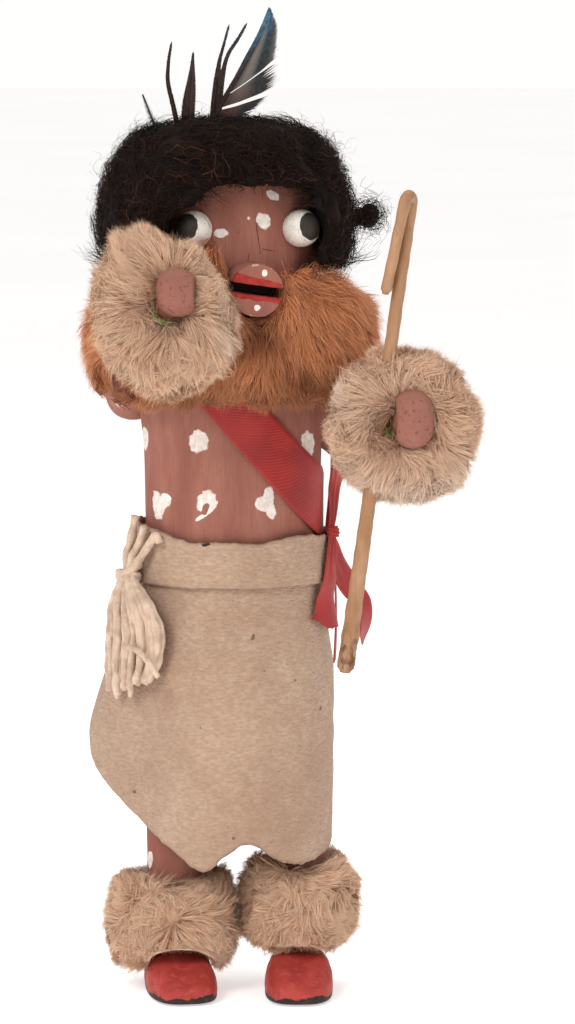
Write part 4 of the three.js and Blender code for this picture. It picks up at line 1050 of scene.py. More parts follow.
def wigPiece():
    chance = np.random.default_rng(wig["seed"])
    outer = roundedForm("wig", 1.0, 3)
    middle = np.array(wig["middle"])

    roots, normals = scatter(*outer, int(wig["strands"] * 1.9), chance)
    kept = (normals * unit(roots - middle)).sum(1) > 0.05
    roots, normals = roots[kept][:wig["strands"]], normals[kept][:wig["strands"]]
    parts, strand, along = [], [], []
    padded, paddedFaces, paddedNormals = roundedForm("wig", 1.1, 3, wig["depth"] * 0.45)
    clumps = softNoise(padded, wig["tuft"], 94, 3)
    padded = offEyes(padded + paddedNormals * (wig["lumps"] * (clumps - 0.55))[:, None], 6.0)
    parts.append((padded, paddedFaces))
    strand.append(0.35 + 0.3 * clumps)
    along.append(np.zeros(len(padded)))
    ball = lengthOf(roots - wig["lock"]) < wig["lockRadius"]
    for chosen, curl, length, width, steps, lift in (
            (~ball, wig["curl"], wig["length"], wig["width"], 6, 1.2),
            (ball, 1.6, 9.0, 0.16, 9, 1.5)):
        rel = roots[chosen] - (0, 0, 199)
        ahead = rel @ facing()
        byFace = smooth(-lengthOf(rel - facing() * ahead[:, None]), -25, -20) * (ahead > 0)
        reach, curve = length * (1 - 0.75 * byFace), 34.0 if steps == 6 else 7.0
        paths, flat = woolPaths(roots[chosen], normals[chosen], reach, curl, steps, chance, lift, curve)
        paths = offEyes(paths, 6.5)
        count = len(paths)
        widths = np.tile(width * np.linspace(1, 0.5, steps), (count, 1)) * chance.uniform(0.6, 1.3, (count, 1))
        hair, faces, each = blades(paths, widths, flat)
        parts.append((hair, faces))
        strand.append(np.repeat(chance.random(count), each))
        along.append(np.tile(np.r_[np.repeat(np.linspace(0, 1, steps)[:-1], 2), 1], count))
    # loose fibres that stand off the mass, most of them at the edge
    picked = chance.choice(len(roots), wig["strays"], replace=False)
    paths, flat = woolPaths(roots[picked], unit(normals[picked] + chance.normal(size=(wig["strays"], 3)) * 0.5),
                            wig["strayLength"], 1.1, 9, chance, 2.4, 22.0)
    widths = np.tile(0.09 * np.linspace(1, 0.5, 9), (len(paths), 1))
    hair, faces, each = blades(paths, widths, flat)
    parts.append((hair, faces))
    strand.append(np.repeat(0.8 + 0.2 * chance.random(len(paths)), each))
    along.append(np.ones(len(paths) * each))
    points, faces = joined(parts)
    values = {"strand": np.concatenate(strand), "along": np.concatenate(along)}
    print("wool", sum(len(f) for f in faces), "faces")
    addPiece("wool_wig", points, faces, values, blackWool, ["wig"], "black_wool")


def makeBlackWool():
    # natural black sheep's wool, carded and teased: matt and deep, brown where light comes through the ends
    made, tree, shader, place, strand, along = newMaterial(
        "cardedBlackWool", "strand", "along", roughness=0.7, ior=1.55, sheen=0.02, sheenRoughness=0.4, specular=0.1)
    stops = [(0.0, "#0D0705"), (0.6, "#1B0E0A"), (0.9, "#2B180F"), (1.0, "#6B432B")]
    tones = addNode(tree, "ValToRGB", {"stops": stops, "Fac": strand})
    colour = blendColours(tree, sums(tree, "MULTIPLY", along, 0.35), tones.outputs[0], "#2A170F")
    fibres = noiseAt(tree, place, 0.7, 4, (1, 1, 0.5), 0.3, 0.7)
    tree.links.new(tint(tree, colour, fibres, 0.4, "#0E0806"),
                   shader.inputs["Base Color"])
    relief(tree, shader, fibres, 0.2, 0.8)
    return made


feathers = {
    "barbWidth": 0.6,
    # line: the quill, x, y, height. Widths are to each side of it, and an edge is drawn in full where it is wide.
    "feather_large": [{
        "line": [(-5.5, 0, 231), (-2.3, 0, 237), (-0.4, -0.4, 240), (1.9, -0.8, 243.8), (4.5, -1, 248.6),
                 (7.4, -0.8, 253.9),
                 (9.3, -0.3, 258.5), (10.1, 0, 262)],
        "left": [(0, 0.9), (0.3, 1.1), (0.6, 1.2), (0.85, 1.0), (1, 0.1)],
        "edge": [(-1, -1, 229.5), (3.4, -1.6, 232.9), (6.9, -2.2, 235.9), (9.9, -2.6, 239.3), (11.9, -2.6, 243.3),
                 (11.5, -2.4, 246.8), (12, -1.9, 251.7), (12.1, -1, 257.4), (10.2, 0, 262)],
        "reach": [(0, 0.05), (0.16, 0.45), (0.3, 0.66), (0.6, 0.85), (1, 1)],
        "barbs": 330, "gaps": [(1, 0.125, 0.152), (1, 0.255, 0.283), (1, 0.02, 0.026)], "blue": 1.0, "fluff": 0.6}],
    "feather_split": [
        {"line": [(-5.2, 2.2, 230), (-4.3, 2.2, 240), (-3.2, 2.4, 248), (-1.9, 2.5, 253), (-0.7, 2.6, 257.6)],
         "left": [(0, 1.0), (0.4, 0.9), (0.62, 0.5), (0.75, 0.25), (1, 0.05)],
         "right": [(0, 1.1), (0.45, 0.9), (0.6, 0.35), (0.75, 0.2), (1, 0.05)], "barbs": 150, "gaps": [],
         "blue": 0.2},
        {"line": [(-4.0, 2.0, 230), (-3.1, 2.0, 240), (-2.0, 2.2, 246.8), (-0.7, 2.3, 250.4), (1.5, 2.4, 253.6),
                  (4.0, 2.4, 257.9)],
         "left": [(0, 1.0), (0.42, 0.8), (0.55, 0.4), (0.8, 0.25), (1, 0.05)],
         "right": [(0, 1.1), (0.4, 0.8), (0.6, 0.5), (0.8, 0.35), (1, 0.05)], "barbs": 150, "gaps": [], "blue": 0.2}],
    "feather_short": [{
        "line": [(-11.9, 0.5, 230), (-11.3, 0.5, 238), (-10.7, 0.8, 244), (-10.2, 1, 250.3)],
        "left": [(0, 1.9), (0.3, 1.8), (0.5, 1.3), (0.75, 0.6), (1, 0.05)],
        "right": [(0, 2.0), (0.3, 1.9), (0.5, 1.6), (0.75, 0.8), (1, 0.05)],
        "barbs": 190, "gaps": [(1, 0.30, 0.315)], "blue": 0.1, "fluff": 0.3}],
    "feather_thin": [{
        "line": [(-14.2, 2, 230), (-15.6, 2, 236.5), (-16.9, 2.4, 242.5), (-16.7, 2.5, 248), (-15.9, 2.5, 253)],
        "left": [(0, 0.7), (0.5, 0.55), (0.75, 0.35), (1, 0.05)],
        "right": [(0, 0.7), (0.5, 0.5), (0.75, 0.3), (1, 0.05)],
        "barbs": 120, "gaps": [], "blue": 0.0}],
    "feather_stub": [{
        "line": [(-20, 1, 230), (-21.6, 1, 234), (-23.6, 1, 239.2)],
        "left": [(0, 1.2), (0.5, 0.9), (1, 0.2)], "right": [(0, 1.2), (0.5, 0.7), (1, 0.2)],
        "barbs": 30, "gaps": [], "blue": 0.0, "fluff": 0.9, "barbWidth": 0.13}],
}


def featherPiece(name):
    parts, reach, travel, blue = [], [], [], []
    for number, look in enumerate(feathers[name]):
        chance = np.random.default_rng(101 + len(name) + number)
        line = evenly(spline(look["line"], 300), 100)
        share = np.linspace(0, 1, 100)
        tangent = unit(np.gradient(line, axis=0))
        shaft = turnedTube(line, np.linspace(0.32, 0.08, 100), 8)
        parts.append(shaft)
        reach.append(np.zeros(len(shaft[0])))
        travel.append(np.r_[np.repeat(share, 8), 0, 1])
        for side in (-1, 1):
            at = np.linspace(0.0, 0.99, look["barbs"]) + chance.normal(0, 0.002, look["barbs"])
            for gapSide, low, high in look["gaps"]:
                if gapSide == side:
                    at = at[(at < low) | (at > high)]
            at = np.clip(at, 0, 0.995)

            def along(values, where):
                return np.stack([np.interp(where, share, values[:, k]) for k in range(3)], 1)

            place, way = along(line, at), along(tangent, at)
            if side > 0 and "edge" in look:
                end = along(evenly(spline(look["edge"], 300), 100), through(look["reach"], at))
            else:
                out = np.stack([way[:, 2], 0 * at, -way[:, 0]], 1) * side
                wide = through(look["left" if side < 0 else "right"], at)[:, None]
                end = along(line, np.minimum(1, at + 0.05)) + out * wide
            fluff = look.get("fluff", 0.1) * (1 - smooth(at, 0.2, 0.4))
            loose = (chance.random(len(at)) < 0.02 + 0.5 * fluff)[:, None]
            end = end + (end - place) * np.where(loose, chance.uniform(0.0, 0.14, (len(at), 1)),
                                                 chance.normal(-0.01, 0.012, (len(at), 1)))
            t = np.array([0, 0.35, 0.7, 1.0])[None, :, None]
            middle = (place + end) / 2 + way * np.linalg.norm(end - place, axis=1, keepdims=True) * -0.08
            middle = middle + (0, 0.25, 0) * chance.normal(0.6, 0.4, (len(at), 1))
            paths = place[:, None] * (1 - t) ** 2 + middle[:, None] * 2 * t * (1 - t) + end[:, None] * t * t
            paths[..., 1] += chance.normal(0, 0.05, (len(at), 1)) * t[..., 0]
            flat = unit(np.cross((0.0, 1.0, 0.0), unit(np.gradient(paths, axis=1))))
            spacing = lengthOf(np.diff(end, axis=0))
            wideEnd = np.clip(np.r_[spacing, spacing[-1:]] * 2.2, 0.12, look.get("barbWidth", feathers["barbWidth"]))
            wideEnd = np.where(loose[:, 0], 0.13, wideEnd)
            widths = np.stack([0.3 + 0 * wideEnd, mix(0.3, wideEnd, 0.6), wideEnd, 0 * wideEnd], 1)
            points, faces, each = blades(paths, widths, flat)
            parts.append((points, faces))
            reach.append(np.tile([0, 0, 0.35, 0.35, 0.7, 0.7, 1.0], len(at)) * side)
            travel.append(np.repeat(at, each))
        blue.append(np.full(sum(len(part[0]) for part in parts) - sum(len(part) for part in blue), look["blue"]))
    points, faces = joined(parts)
    values = {"reach": np.concatenate(reach), "travel": np.concatenate(travel), "blue": np.concatenate(blue)}
    addPiece(name + "_barbs", points, faces, values, featherVane, [name], "feather")


def makeFeather():
    # rooster feathers: brown-black barbs; the large one has a blue-green sheen in a band and at its edges, and a
    # paler band beside its quill that is partly its own colour and partly a painted reflection
    made, tree, shader, place, signed, travel, blue = newMaterial(
        "roosterFeather", "reach", "travel", "blue", roughness=0.55, ior=1.56, specular=0.22)
    mottle = noiseAt(tree, place, 1.2, 4)
    colour = blendColours(tree, mottle, "#1C110D", "#3A251C")
    # a paler band beside the quill and at the edge: partly the barbs' own colour, partly a painted reflection
    stops = [(0.0, 0.0), (0.3, 1.0), (0.5, 0.75), (0.62, 0.0), (0.8, 0.1), (1.0, 1.0)]
    pale = addNode(tree, "ValToRGB", {"stops": stops, "Fac": signed}).outputs[0]
    up = addNode(tree, "MapRange", {"From Min": 0.05, "From Max": 0.3, "Value": travel}).outputs[0]
    pale = sums(tree, "MULTIPLY", sums(tree, "MULTIPLY", pale, blue), sums(tree, "MULTIPLY_ADD", up, 0.6, 0.3))
    colour = blendColours(tree, pale, colour, blendColours(tree, up, "#6E4A3A", "#77706A"))
    stops = [(0.42, 0.0), (0.6, 1.0), (0.82, 0.8), (1.0, 0.0)]
    band = addNode(tree, "ValToRGB", {"stops": stops, "Fac": signed}).outputs[0]
    leftSide = sums(tree, "LESS_THAN", signed, -0.05)
    high = addNode(tree, "MapRange", {"From Min": 0.25, "From Max": 0.75, "Value": travel}).outputs[0]
    top = addNode(tree, "MapRange", {"From Min": 0.55, "From Max": 0.9, "Value": travel}).outputs[0]
    glint = sums(tree, "MAXIMUM", sums(tree, "MULTIPLY", band, sums(tree, "MULTIPLY_ADD", high, 0.5, 0.35)),
                 sums(tree, "MAXIMUM", sums(tree, "MULTIPLY", leftSide, high), sums(tree, "MULTIPLY", top, 0.75)))
    glint = sums(tree, "MULTIPLY", glint, blue)
    sheen = blendColours(tree, top, blendColours(tree, mottle, "#22343A", "#31505A"),
                         blendColours(tree, mottle, "#34586F", "#5A87A6"))
    colour = tint(tree, colour, glint, 0.9, sheen)
    tree.links.new(colour, shader.inputs["Base Color"])
    tree.links.new(sums(tree, "MULTIPLY", glint, 0.4), shader.inputs["Metallic"])
    return made


# Leather: the kilt and the belt, cut from one soft skin

kilt = {
    "thickness": 1.1, "length": 83.4, "top": 118.95, "ease": 2.5, "flare": 10.5, "columns": 210, "rows": 58,
    "ends": (-112.0, 262.0), "around": 170,  # its side edges in degrees from the front, and the way round in mm
    "hem": [(-112, 0.6), (-97, 0.67), (-78, 0.79), (-58, 0.887), (-38, 0.941), (-17, 1), (-5, 0.959), (8, 0.914),
            (22, 0.947), (32, 0.983), (52, 0.988), (72, 0.964), (92, 0.935), (180, 0.911), (262, 0.803)],
    # scars and marks in the skin: x, height, half width, half height
    "marks": [(5.5, 97.7, 0.45, 0.9), (16.4, 85.9, 0.3, 0.35), (-24.0, 54.4, 0.55, 0.55), (0.5, 44.7, 0.4, 0.45),
              (23.2, 77.3, 0.3, 0.5), (8.4, 89, 0.22, 0.22), (-8, 74, 0.2, 0.25), (12, 62, 0.2, 0.2)],
}
belt = {
    "thickness": 1.1, "width": 13.4, "foot": 110.3, "columns": 300, "rows": 14,
    "ends": (-178.0, 184.0), "around": 160,
    "waves": [(-180, 0), (-95, 3), (-60, 2), (-35, -0.4), (-16, -1.4), (-5, -1.1), (20, -1.2), (45, 0.2),
              (80, -0.8), (130, 1), (180, 0)],
}
kiltInner = float(figureRadius(115.8)) + clearance + kilt["thickness"] * 0.8


def kiltPlace(degrees, height, out):
    degrees, height = np.asarray(degrees, float), np.asarray(height, float)
    hang = smooth(belt["foot"] - height, 0, 26)
    overlap = (kilt["thickness"] + clearance) * smooth(-degrees, 55, 95) * (1 - 0.3 * hang)
    corner = smooth(-degrees, 50, 108) * smooth(kilt["top"] - height, 8, kilt["length"] * 0.64)
    reach = mix(kiltInner, torsoRadius + kilt["ease"], hang) + overlap
    wave = 0.35 * hang * np.sin(np.radians(degrees * 3 + 40)) + out
    width = reach + wave + kilt["flare"] * corner
    depth = reach * mix(torsoDepth, 0.93, hang) + wave + kilt["flare"] * 0.4 * corner
    angle = np.radians(degrees)
    return np.stack([np.sin(angle) * width, -np.cos(angle) * depth, height + 0 * width], -1)


def thickSheet(outer, inner):  # closes two faces of a sheet, (columns, rows, 3) each, round their edges
    columns, rows = outer.shape[:2]
    points = np.concatenate([outer, inner[:, ::-1]], 1)
    ring = 2 * rows
    faces = [gridFaces(columns, ring, True)]
    k = np.arange(rows - 1)
    for start, flip in ((0, 1), ((columns - 1) * ring, -1)):
        cap = np.stack([k, k + 1, ring - 2 - k, ring - 1 - k], 1) + start
        faces.append(cap[:, ::flip])
    return points.reshape(-1, 3), faces


def sheetRows(count, edge):  # even steps, with close ones at both edges so that a cut edge stays crisp
    return np.r_[0, edge * 0.35, edge, np.linspace(edge * 2.4, 1 - edge * 2.4, count), 1 - edge, 1 - edge * 0.35, 1]


def bothFaces(values):  # values of a sheet's outer face, for both its faces
    return np.concatenate([values, values[:, ::-1]], 1).ravel()


def rawEdge(degrees, size, seed):  # how a hand-cut edge wanders
    line = np.stack([degrees * 0.4, 0 * degrees, 0 * degrees], -1).reshape(-1, 3)
    return softNoise(line, size, seed, 3).reshape(degrees.shape)


def skinEdges(across, along, wide, tall):  # how thick a cut skin is, as a share: rounded over its last 0.5 mm
    nearest = np.minimum(np.minimum(across, 1 - across) * wide, np.minimum(along, 1 - along) * tall) / 0.5
    return np.sqrt(np.clip(nearest, 0.2, 1))


def kiltPiece():
    across, along = grid(sheetRows(kilt["columns"], 0.0025), sheetRows(kilt["rows"], 0.006))
    degrees = mix(*kilt["ends"], across)
    foot = kilt["top"] - kilt["length"] * through(kilt["hem"], degrees) + 0.45 * rawEdge(degrees, 3.0, 111)
    height = mix(foot, kilt["top"], along)
    middle = kiltPlace(degrees, height, 0)
    flat = middle.reshape(-1, 3)
    # hung skin: slack lengthways folds below the belt, a curled hem, small dents
    loose = smooth(belt["foot"] - height, 4, 40)
    folds = softNoise(flat * (1, 1, 0.22), 17, 112).reshape(degrees.shape) * 0.75 * loose
    dents = softNoise(flat, 6, 113, 3).reshape(degrees.shape) * 0.16 * smooth(belt["foot"] - height, -1, 6)
    hemCurl = smooth(-along, -0.06, 0) * 0.8 * softNoise(flat, 22, 114).reshape(degrees.shape) * loose
    half = kilt["thickness"] / 2 * skinEdges(across, along, kilt["around"], kilt["length"])
    push = np.clip(folds + dents + hemCurl, -1.2, 1.6)
    outer = kiltPlace(degrees, height, push + half)
    inner = kiltPlace(degrees, height, push - half)
    points, faces = thickSheet(outer, inner)
    hem = smooth(-along, -0.012, 0)
    inside = np.concatenate([np.zeros_like(along), np.ones_like(along)], 1).ravel()
    values = {"hem": bothFaces(hem), "inside": inside}
    piece = addPiece("leather_kilt", points, faces, values, buckskin, ["kilt"], "buckskin")
    wide = float(lengthOf(np.diff(middle, axis=0)).sum(0).max())
    area = gridArea(mix(outer, inner, 0.5))


def gridArea(points):
    a, b = points[1:, :-1] - points[:-1, :-1], points[:-1, 1:] - points[:-1, :-1]
    c, d = points[:-1, 1:] - points[1:, 1:], points[1:, :-1] - points[1:, 1:]
    return float((lengthOf(np.cross(a, b)) + lengthOf(np.cross(c, d))).sum() / 2)


def beltTop(degrees):
    return belt["foot"] + belt["width"] + through(belt["waves"], degrees)


def beltPiece():
    across, along = grid(np.linspace(0, 1, belt["columns"]), sheetRows(belt["rows"], 0.03))
    degrees = mix(*belt["ends"], across)
    turned = np.where(degrees > 180, degrees - 360, degrees)
    ragged = rawEdge(degrees, 4.0, 121)
    height = mix(belt["foot"] + 0.12 * ragged, beltTop(turned) + 0.4 * ragged, along)
    place = np.stack([np.sin(np.radians(degrees)) * 24, -np.cos(np.radians(degrees)) * 24, height], -1).reshape(-1, 3)
    slack = 0.28 * softNoise(place * (1, 1, 0.5), 9, 122).reshape(degrees.shape)
    crease = -0.5 * np.exp(-((degrees - 71) / 1.6) ** 2) * smooth(along, 0.05, 0.5)
    overKilt = (kilt["thickness"] + clearance) * smooth(-turned, 50, 95)
    overSelf = (belt["thickness"] + clearance) * smooth(degrees, 150, 180)
    lean = smooth(height, kilt["top"] + 0.8, kilt["top"] + 5)  # over the top of the kilt it lies in to the wood
    overKilt = overKilt * (1 - lean)
    inner = kiltInner + kilt["thickness"] / 2 + clearance
    reach = np.maximum(inner, figureRadius(height) + clearance * 2)
    lip = 0.35 * smooth(along, 0.8, 1) * softNoise(place, 14, 123).reshape(degrees.shape)
    half = belt["thickness"] / 2 * skinEdges(across, along, belt["around"], belt["width"])
    angle = np.radians(degrees)

    def face(out):
        loose = np.clip(slack * (1 - 0.6 * lean) + lip + crease, -0.3, 0.8)
        lift = np.maximum(overKilt, overSelf) + belt["thickness"] / 2 + out + loose
        return np.stack([np.sin(angle) * (reach + lift), -np.cos(angle) * (reach * torsoDepth + clearance + lift),
                         height], -1)

    outer, innerFace = face(half), face(-half)
    points, faces = thickSheet(outer, innerFace)
    edge = np.maximum(smooth(-along, -0.04, 0), smooth(along, 0.96, 1))
    values = {"hem": bothFaces(edge), "inside": np.zeros(len(points))}
    piece = addPiece("leather_belt", points, faces, values, buckskin, ["belt"], "buckskin")
    middle = face(0 * half)
    wide = float(lengthOf(np.diff(middle, axis=0)).sum(0).max())
    tall = belt["width"] + 3.2
    min(gridArea(middle) / 1e6, tall * wide / 1e6)


def makeBuckskin():
    # undyed deerskin, flesh side out: matt cream nap, a pebbled grain that runs across, dark edges where it was cut
    made, tree, shader, place, hem, inside = newMaterial(
        "undyedDeerskin", "hem", "inside", roughness=0.82, ior=1.5, sheen=0.18, sheenRoughness=0.5, specular=0.25)
    broad = noiseAt(tree, place, 26, 3, (1, 1, 0.7), 0.35, 0.68)
    cloudy = noiseAt(tree, place, 7, 4, low=0.42, high=0.72)
    pebble = noiseAt(tree, place, 0.85, 4, (0.5, 0.5, 1.2), 0.36, 0.64)  # real grain is finer, drawn coarse to show
    fine = noiseAt(tree, place, 0.4, 3, low=0.3, high=0.7)
    pores = addNode(tree, "TexVoronoi", {"Scale": 1000 / 1.9, "Randomness": 1.0, "Vector": place}).outputs["Distance"]
    pores = addNode(tree, "MapRange", {"From Min": 0.16, "From Max": 0.06, "Value": pores}).outputs[0]
    colour = blendColours(tree, broad, "#AB8972", "#C2A38B")
    colour = tint(tree, colour, cloudy, 0.35, "#D0B49D")
    colour = tint(tree, colour, pebble, 0.42, "#876650")
    colour = tint(tree, colour, fine, 0.18, "#D9BFA8")
    colour = tint(tree, colour, pores, 0.15, "#7A5C46")
    # darker towards the bottom of the kilt
    low = addNode(tree, "SeparateXYZ", {0: place}).outputs[2]
    darkerNearHem = addNode(tree, "MapRange", {"From Min": 0.062, "From Max": 0.038, "Value": low}).outputs[0]
    darkerNearHem = sums(tree, "MULTIPLY", darkerNearHem, noiseAt(tree, place, 9, 4, low=0.4, high=0.7))
    colour = tint(tree, colour, darkerNearHem, 0.35, "#A88768")
    rough = noiseAt(tree, place, 1.1, 4, low=0.35, high=0.65)
    colour = blendColours(tree, sums(tree, "MULTIPLY", hem, sums(tree, "MULTIPLY_ADD", rough, 0.45, 0.3)), colour,
                          "#6E4E3A")
    colour = tint(tree, colour, inside, 0.5, "#94745C")
    marks = [(kiltFront(x, z), (a, 3, b), 20) for x, z, a, b in kilt["marks"]]
    holes = spots(tree, place, marks, 0.5, 0.6)
    colour = tint(tree, colour, holes, 0.7, "#4A3A34")
    cut = spots(tree, place,
                [((-7.0, -22.6, 122.0), (1.1, 2.6, 0.5), -8), ((-6.0, -22.6, 122.3), (0.6, 2.6, 0.3), 20)],
                0.3, 0.6)
    colour = tint(tree, colour, cut, 0.95, "#2C1C18")
    tree.links.new(colour, shader.inputs["Base Color"])
    height = sums(tree, "ADD", sums(tree, "MULTIPLY", pebble, 0.8), sums(tree, "MULTIPLY", fine, 0.35))
    height = sums(tree, "SUBTRACT", height, sums(tree, "MULTIPLY", sums(tree, "MAXIMUM", pores, holes), 0.7))
    relief(tree, shader, height, 0.3, 0.9)
    return made


def kiltFront(x, height):
    reach = float(mix(kiltInner, torsoRadius + kilt["ease"], smooth(belt["foot"] - height, 0, 26)))
    degrees = math.degrees(math.asin(max(-0.98, min(0.98, x / reach))))
    return tuple(kiltPlace(degrees, height, 0.5))


# Ribbon sash: half-inch grosgrain from the right shoulder to a knot at the left hip

sash = {
    "width": 12.7, "thickness": 0.32, "tilt": 49.0, "shoulderTilt": 38.0, "middle": (0, 0, 159.0), "drawnDown": 5.0,
    "lift": 0.84, "around": 260, "across": 13, "knot": (25.6, -4.0, 123.2),
    "tails": [
        # the one that swings out behind the crook
        {"line": [(27.6, 3, 116), (29.4, 6, 110.8), (32.0, 8, 106.8), (34.8, 8.5, 103), (35.6, 8, 98), (34.4, 7, 93)],
         "widths": [(0, 3), (0.3, 8), (1, 7.5)], "twist": [(0, 82), (0.4, 60), (0.65, 48), (1, 68)], "seed": 3},
        # the narrow one that hangs straight down in the shade
        {"line": [(26.8, 4, 116), (27.6, 7, 106), (27.6, 8, 97), (27.2, 8, 88)],
         "widths": [(0, 3), (0.3, 7), (1, 8)], "twist": [(0, 90), (1, 84)], "seed": 2},
        # the slack loop at the side
        {"line": [(26.4, 0, 128.5), (27.0, 2, 134), (28.0, 3.5, 139), (28.2, 6, 143.5), (25.5, 9.5, 148),
                  (19.5, 15.5, 150)],
         "widths": [(0, 4), (0.3, 9), (1, 10)], "twist": [(0, 82), (0.5, 66), (1, 62)], "seed": 5}],
}


def isInFigure(p):
    radius = figureRadius(p[..., 2])
    return np.hypot(p[..., 0] / radius, p[..., 1] / (radius * figureDepth(p[..., 2]))) < 1


def leavesFigure(start, way, lift):  # where lines from inside the chest come out of the wood
    near, far = np.zeros(start.shape[:-1]), np.full(start.shape[:-1], figureHeight / 3)
    for _ in range(24):
        tried = (near + far) / 2
        inside = isInFigure(start + way * tried[..., None])
        near, far = np.where(inside, tried, near), np.where(inside, far, tried)
    return start + way * (near + lift)[..., None]


def sashLoop():
    angle, share = grid(np.linspace(-math.pi, math.pi, sash["around"]), np.linspace(0, 1, sash["across"]))
    rise = -np.cos(angle)
    tilt = np.radians(mix(sash["tilt"], sash["shoulderTilt"], smooth(rise, 0, 1)))
    way = np.stack([-np.cos(tilt), 0 * tilt, np.sin(tilt)], -1) * rise[..., None]
    way = way + np.stack([0 * tilt, -np.sin(angle), 0 * tilt], -1)
    behindHip = np.cos(angle + 0.45)  # it is drawn together just behind the left hip, so the front keeps its width
    gathered = 0.74 * smooth(behindHip, 0.9, 1) + 0.4 * smooth(rise, 0.6, 1)
    lift = sash["lift"] * (1 + 3.6 * smooth(rise, 0.2, 0.85)) + 0.25
    # gathers: lengthways pleats where the ribbon is drawn together
    lift = lift + 0.6 * gathered * (0.5 + 0.5 * np.sin(share * math.pi * 7 + angle * 2))
    slope = math.radians(sash["tilt"])
    acrossWay = np.array((math.sin(slope), 0, math.cos(slope)))
    start = np.array(sash["middle"]) + acrossWay * ((share - 0.5) * sash["width"] * (1 - gathered))[..., None]
    # the ribbon rides a little off the wood along its upper edge, and dips between
    lift = lift + 0.2 * softNoise((start + way * 20).reshape(-1, 3), 12, 131).reshape(angle.shape)
    half = sash["thickness"] / 2
    drop = smooth(behindHip, 0.8, 1)[..., None] * (0, 0, sash["drawnDown"])
    return [leavesFigure(start, way, np.maximum(lift + k * half, 0.45)) - drop for k in (1, -1)], share


def ribbonTail(line, widths, twist, seed):
    along, across = grid(np.linspace(0, 1, 60), np.linspace(-0.5, 0.5, sash["across"]))
    path = evenly(spline(line, 200), 60)
    tangent = unit(np.gradient(path, axis=0))
    turn = np.radians(through(twist, np.linspace(0, 1, 60)))
    flat = np.stack([np.cos(turn), np.sin(turn), 0 * turn], -1)
    flat = unit(flat - tangent * (flat * tangent).sum(-1, keepdims=True))
    out = np.cross(tangent, flat)
    width = through(widths, np.linspace(0, 1, 60))
    pleats = np.sin(across * math.pi * 5 + seed) * (0.9 * (1 - smooth(along, 0.05, 0.6)))
    bow = 0.5 * np.sin(across * 2.6 + seed) * smooth(along, 0.3, 1)
    slant = 2.2 * (across if seed % 2 else -across) * smooth(along, 0.85, 1)  # cut at a slant
    base = path[:, None] + flat[:, None] * (across * width[:, None])[..., None]
    base = base + tangent[:, None] * slant[..., None]
    half = sash["thickness"] / 2
    return [base + out[:, None] * (pleats + bow - k * half)[..., None] for k in (1, -1)], across + 0.5


def frontTail():  # lies over the belt and the kilt, gathered at the top and full width at its ragged cut
    along, across = grid(np.linspace(0, 1, 60), np.linspace(-0.5, 0.5, sash["across"]))
    width = mix(3.0, sash["width"], along)
    degrees = mix(80, 66, along) + np.degrees(across * width / 27)
    cut = smooth(along, 0.8, 1) * (3.2 * smooth(-across, -0.1, 0.5) + 0.4 * np.abs(np.sin(across * 19)))
    height = mix(123.6, 98.0, along) + cut
    lift = mix(3.4, 2.3, smooth(-height, -belt["foot"] - 1, -belt["foot"] + 5))
    pleats = 0.45 * np.sin(across * math.pi * 5 + 1) * (1 - smooth(along, 0.05, 0.5))
    curl = 1.5 * along * (0.5 + across) + 0.25 * np.sin(across * 5)
    half = sash["thickness"] / 2
    return [kiltPlace(degrees, height, lift + pleats + curl + k * half) for k in (1, -1)], across + 0.5


def sashPiece():
    knot = np.array(sash["knot"], float)
    parts, shares, travels, areas, lengths = [], [], [], [], []
    strips = [sashLoop(), frontTail()]
    for tail in sash["tails"]:
        strips.append(ribbonTail([knot] + tail["line"], tail["widths"], tail["twist"], tail["seed"]))
    for (outer, inner), share in strips:
        points, faces = thickSheet(outer, inner)
        parts.append((points, faces))
        shares.append(bothFaces(share))
        middle = (outer + inner) / 2
        run = lengthOf(np.diff(middle[:, sash["across"] // 2], axis=0))
        travel = np.repeat(np.r_[0, np.cumsum(run)][:, None], 2 * sash["across"], 1)
        travels.append(travel.ravel())
        areas.append(gridArea(middle))
        lengths.append(float(run.sum()))
    # the knot: the ribbon wrapped once round itself
    turn, wide = grid(np.linspace(0, 2 * math.pi, 40), np.linspace(-1, 1, sash["across"]))
    reach = 1.5 + 0.35 * (1 - wide ** 2) + 0.16 * np.sin(wide * 9 + turn)
    axis, first = unit(np.array((0.1, -0.2, -0.97))), unit(np.array((0.5, -0.86, 0.1)))
    second = np.cross(axis, first)
    middle = knot + (1.2, -0.8, 0.4)
    ring = middle + axis * (wide * 1.5)[..., None] + first * (np.cos(turn) * reach * 0.7)[..., None]
    ring = ring + second * (np.sin(turn) * reach)[..., None]
    inner = ring - (ring - middle) * 0.12
    points, faces = thickSheet(ring, inner)
    parts.append((points, faces))
    shares.append(np.tile(np.linspace(0, 1, 2 * sash["across"]), 40))
    travels.append(np.repeat(turn[:, 0] * 2.5, 2 * sash["across"]))
    areas.append(gridArea(ring))
    lengths.append(2 * math.pi * 2.5)
    points, faces = joined(parts)
    values = {"share": np.concatenate(shares), "travel": np.concatenate(travels)}
    piece = addPiece("ribbon_band", points, faces, values, redRibbon, ["ribbon_sash"], "red_ribbon")


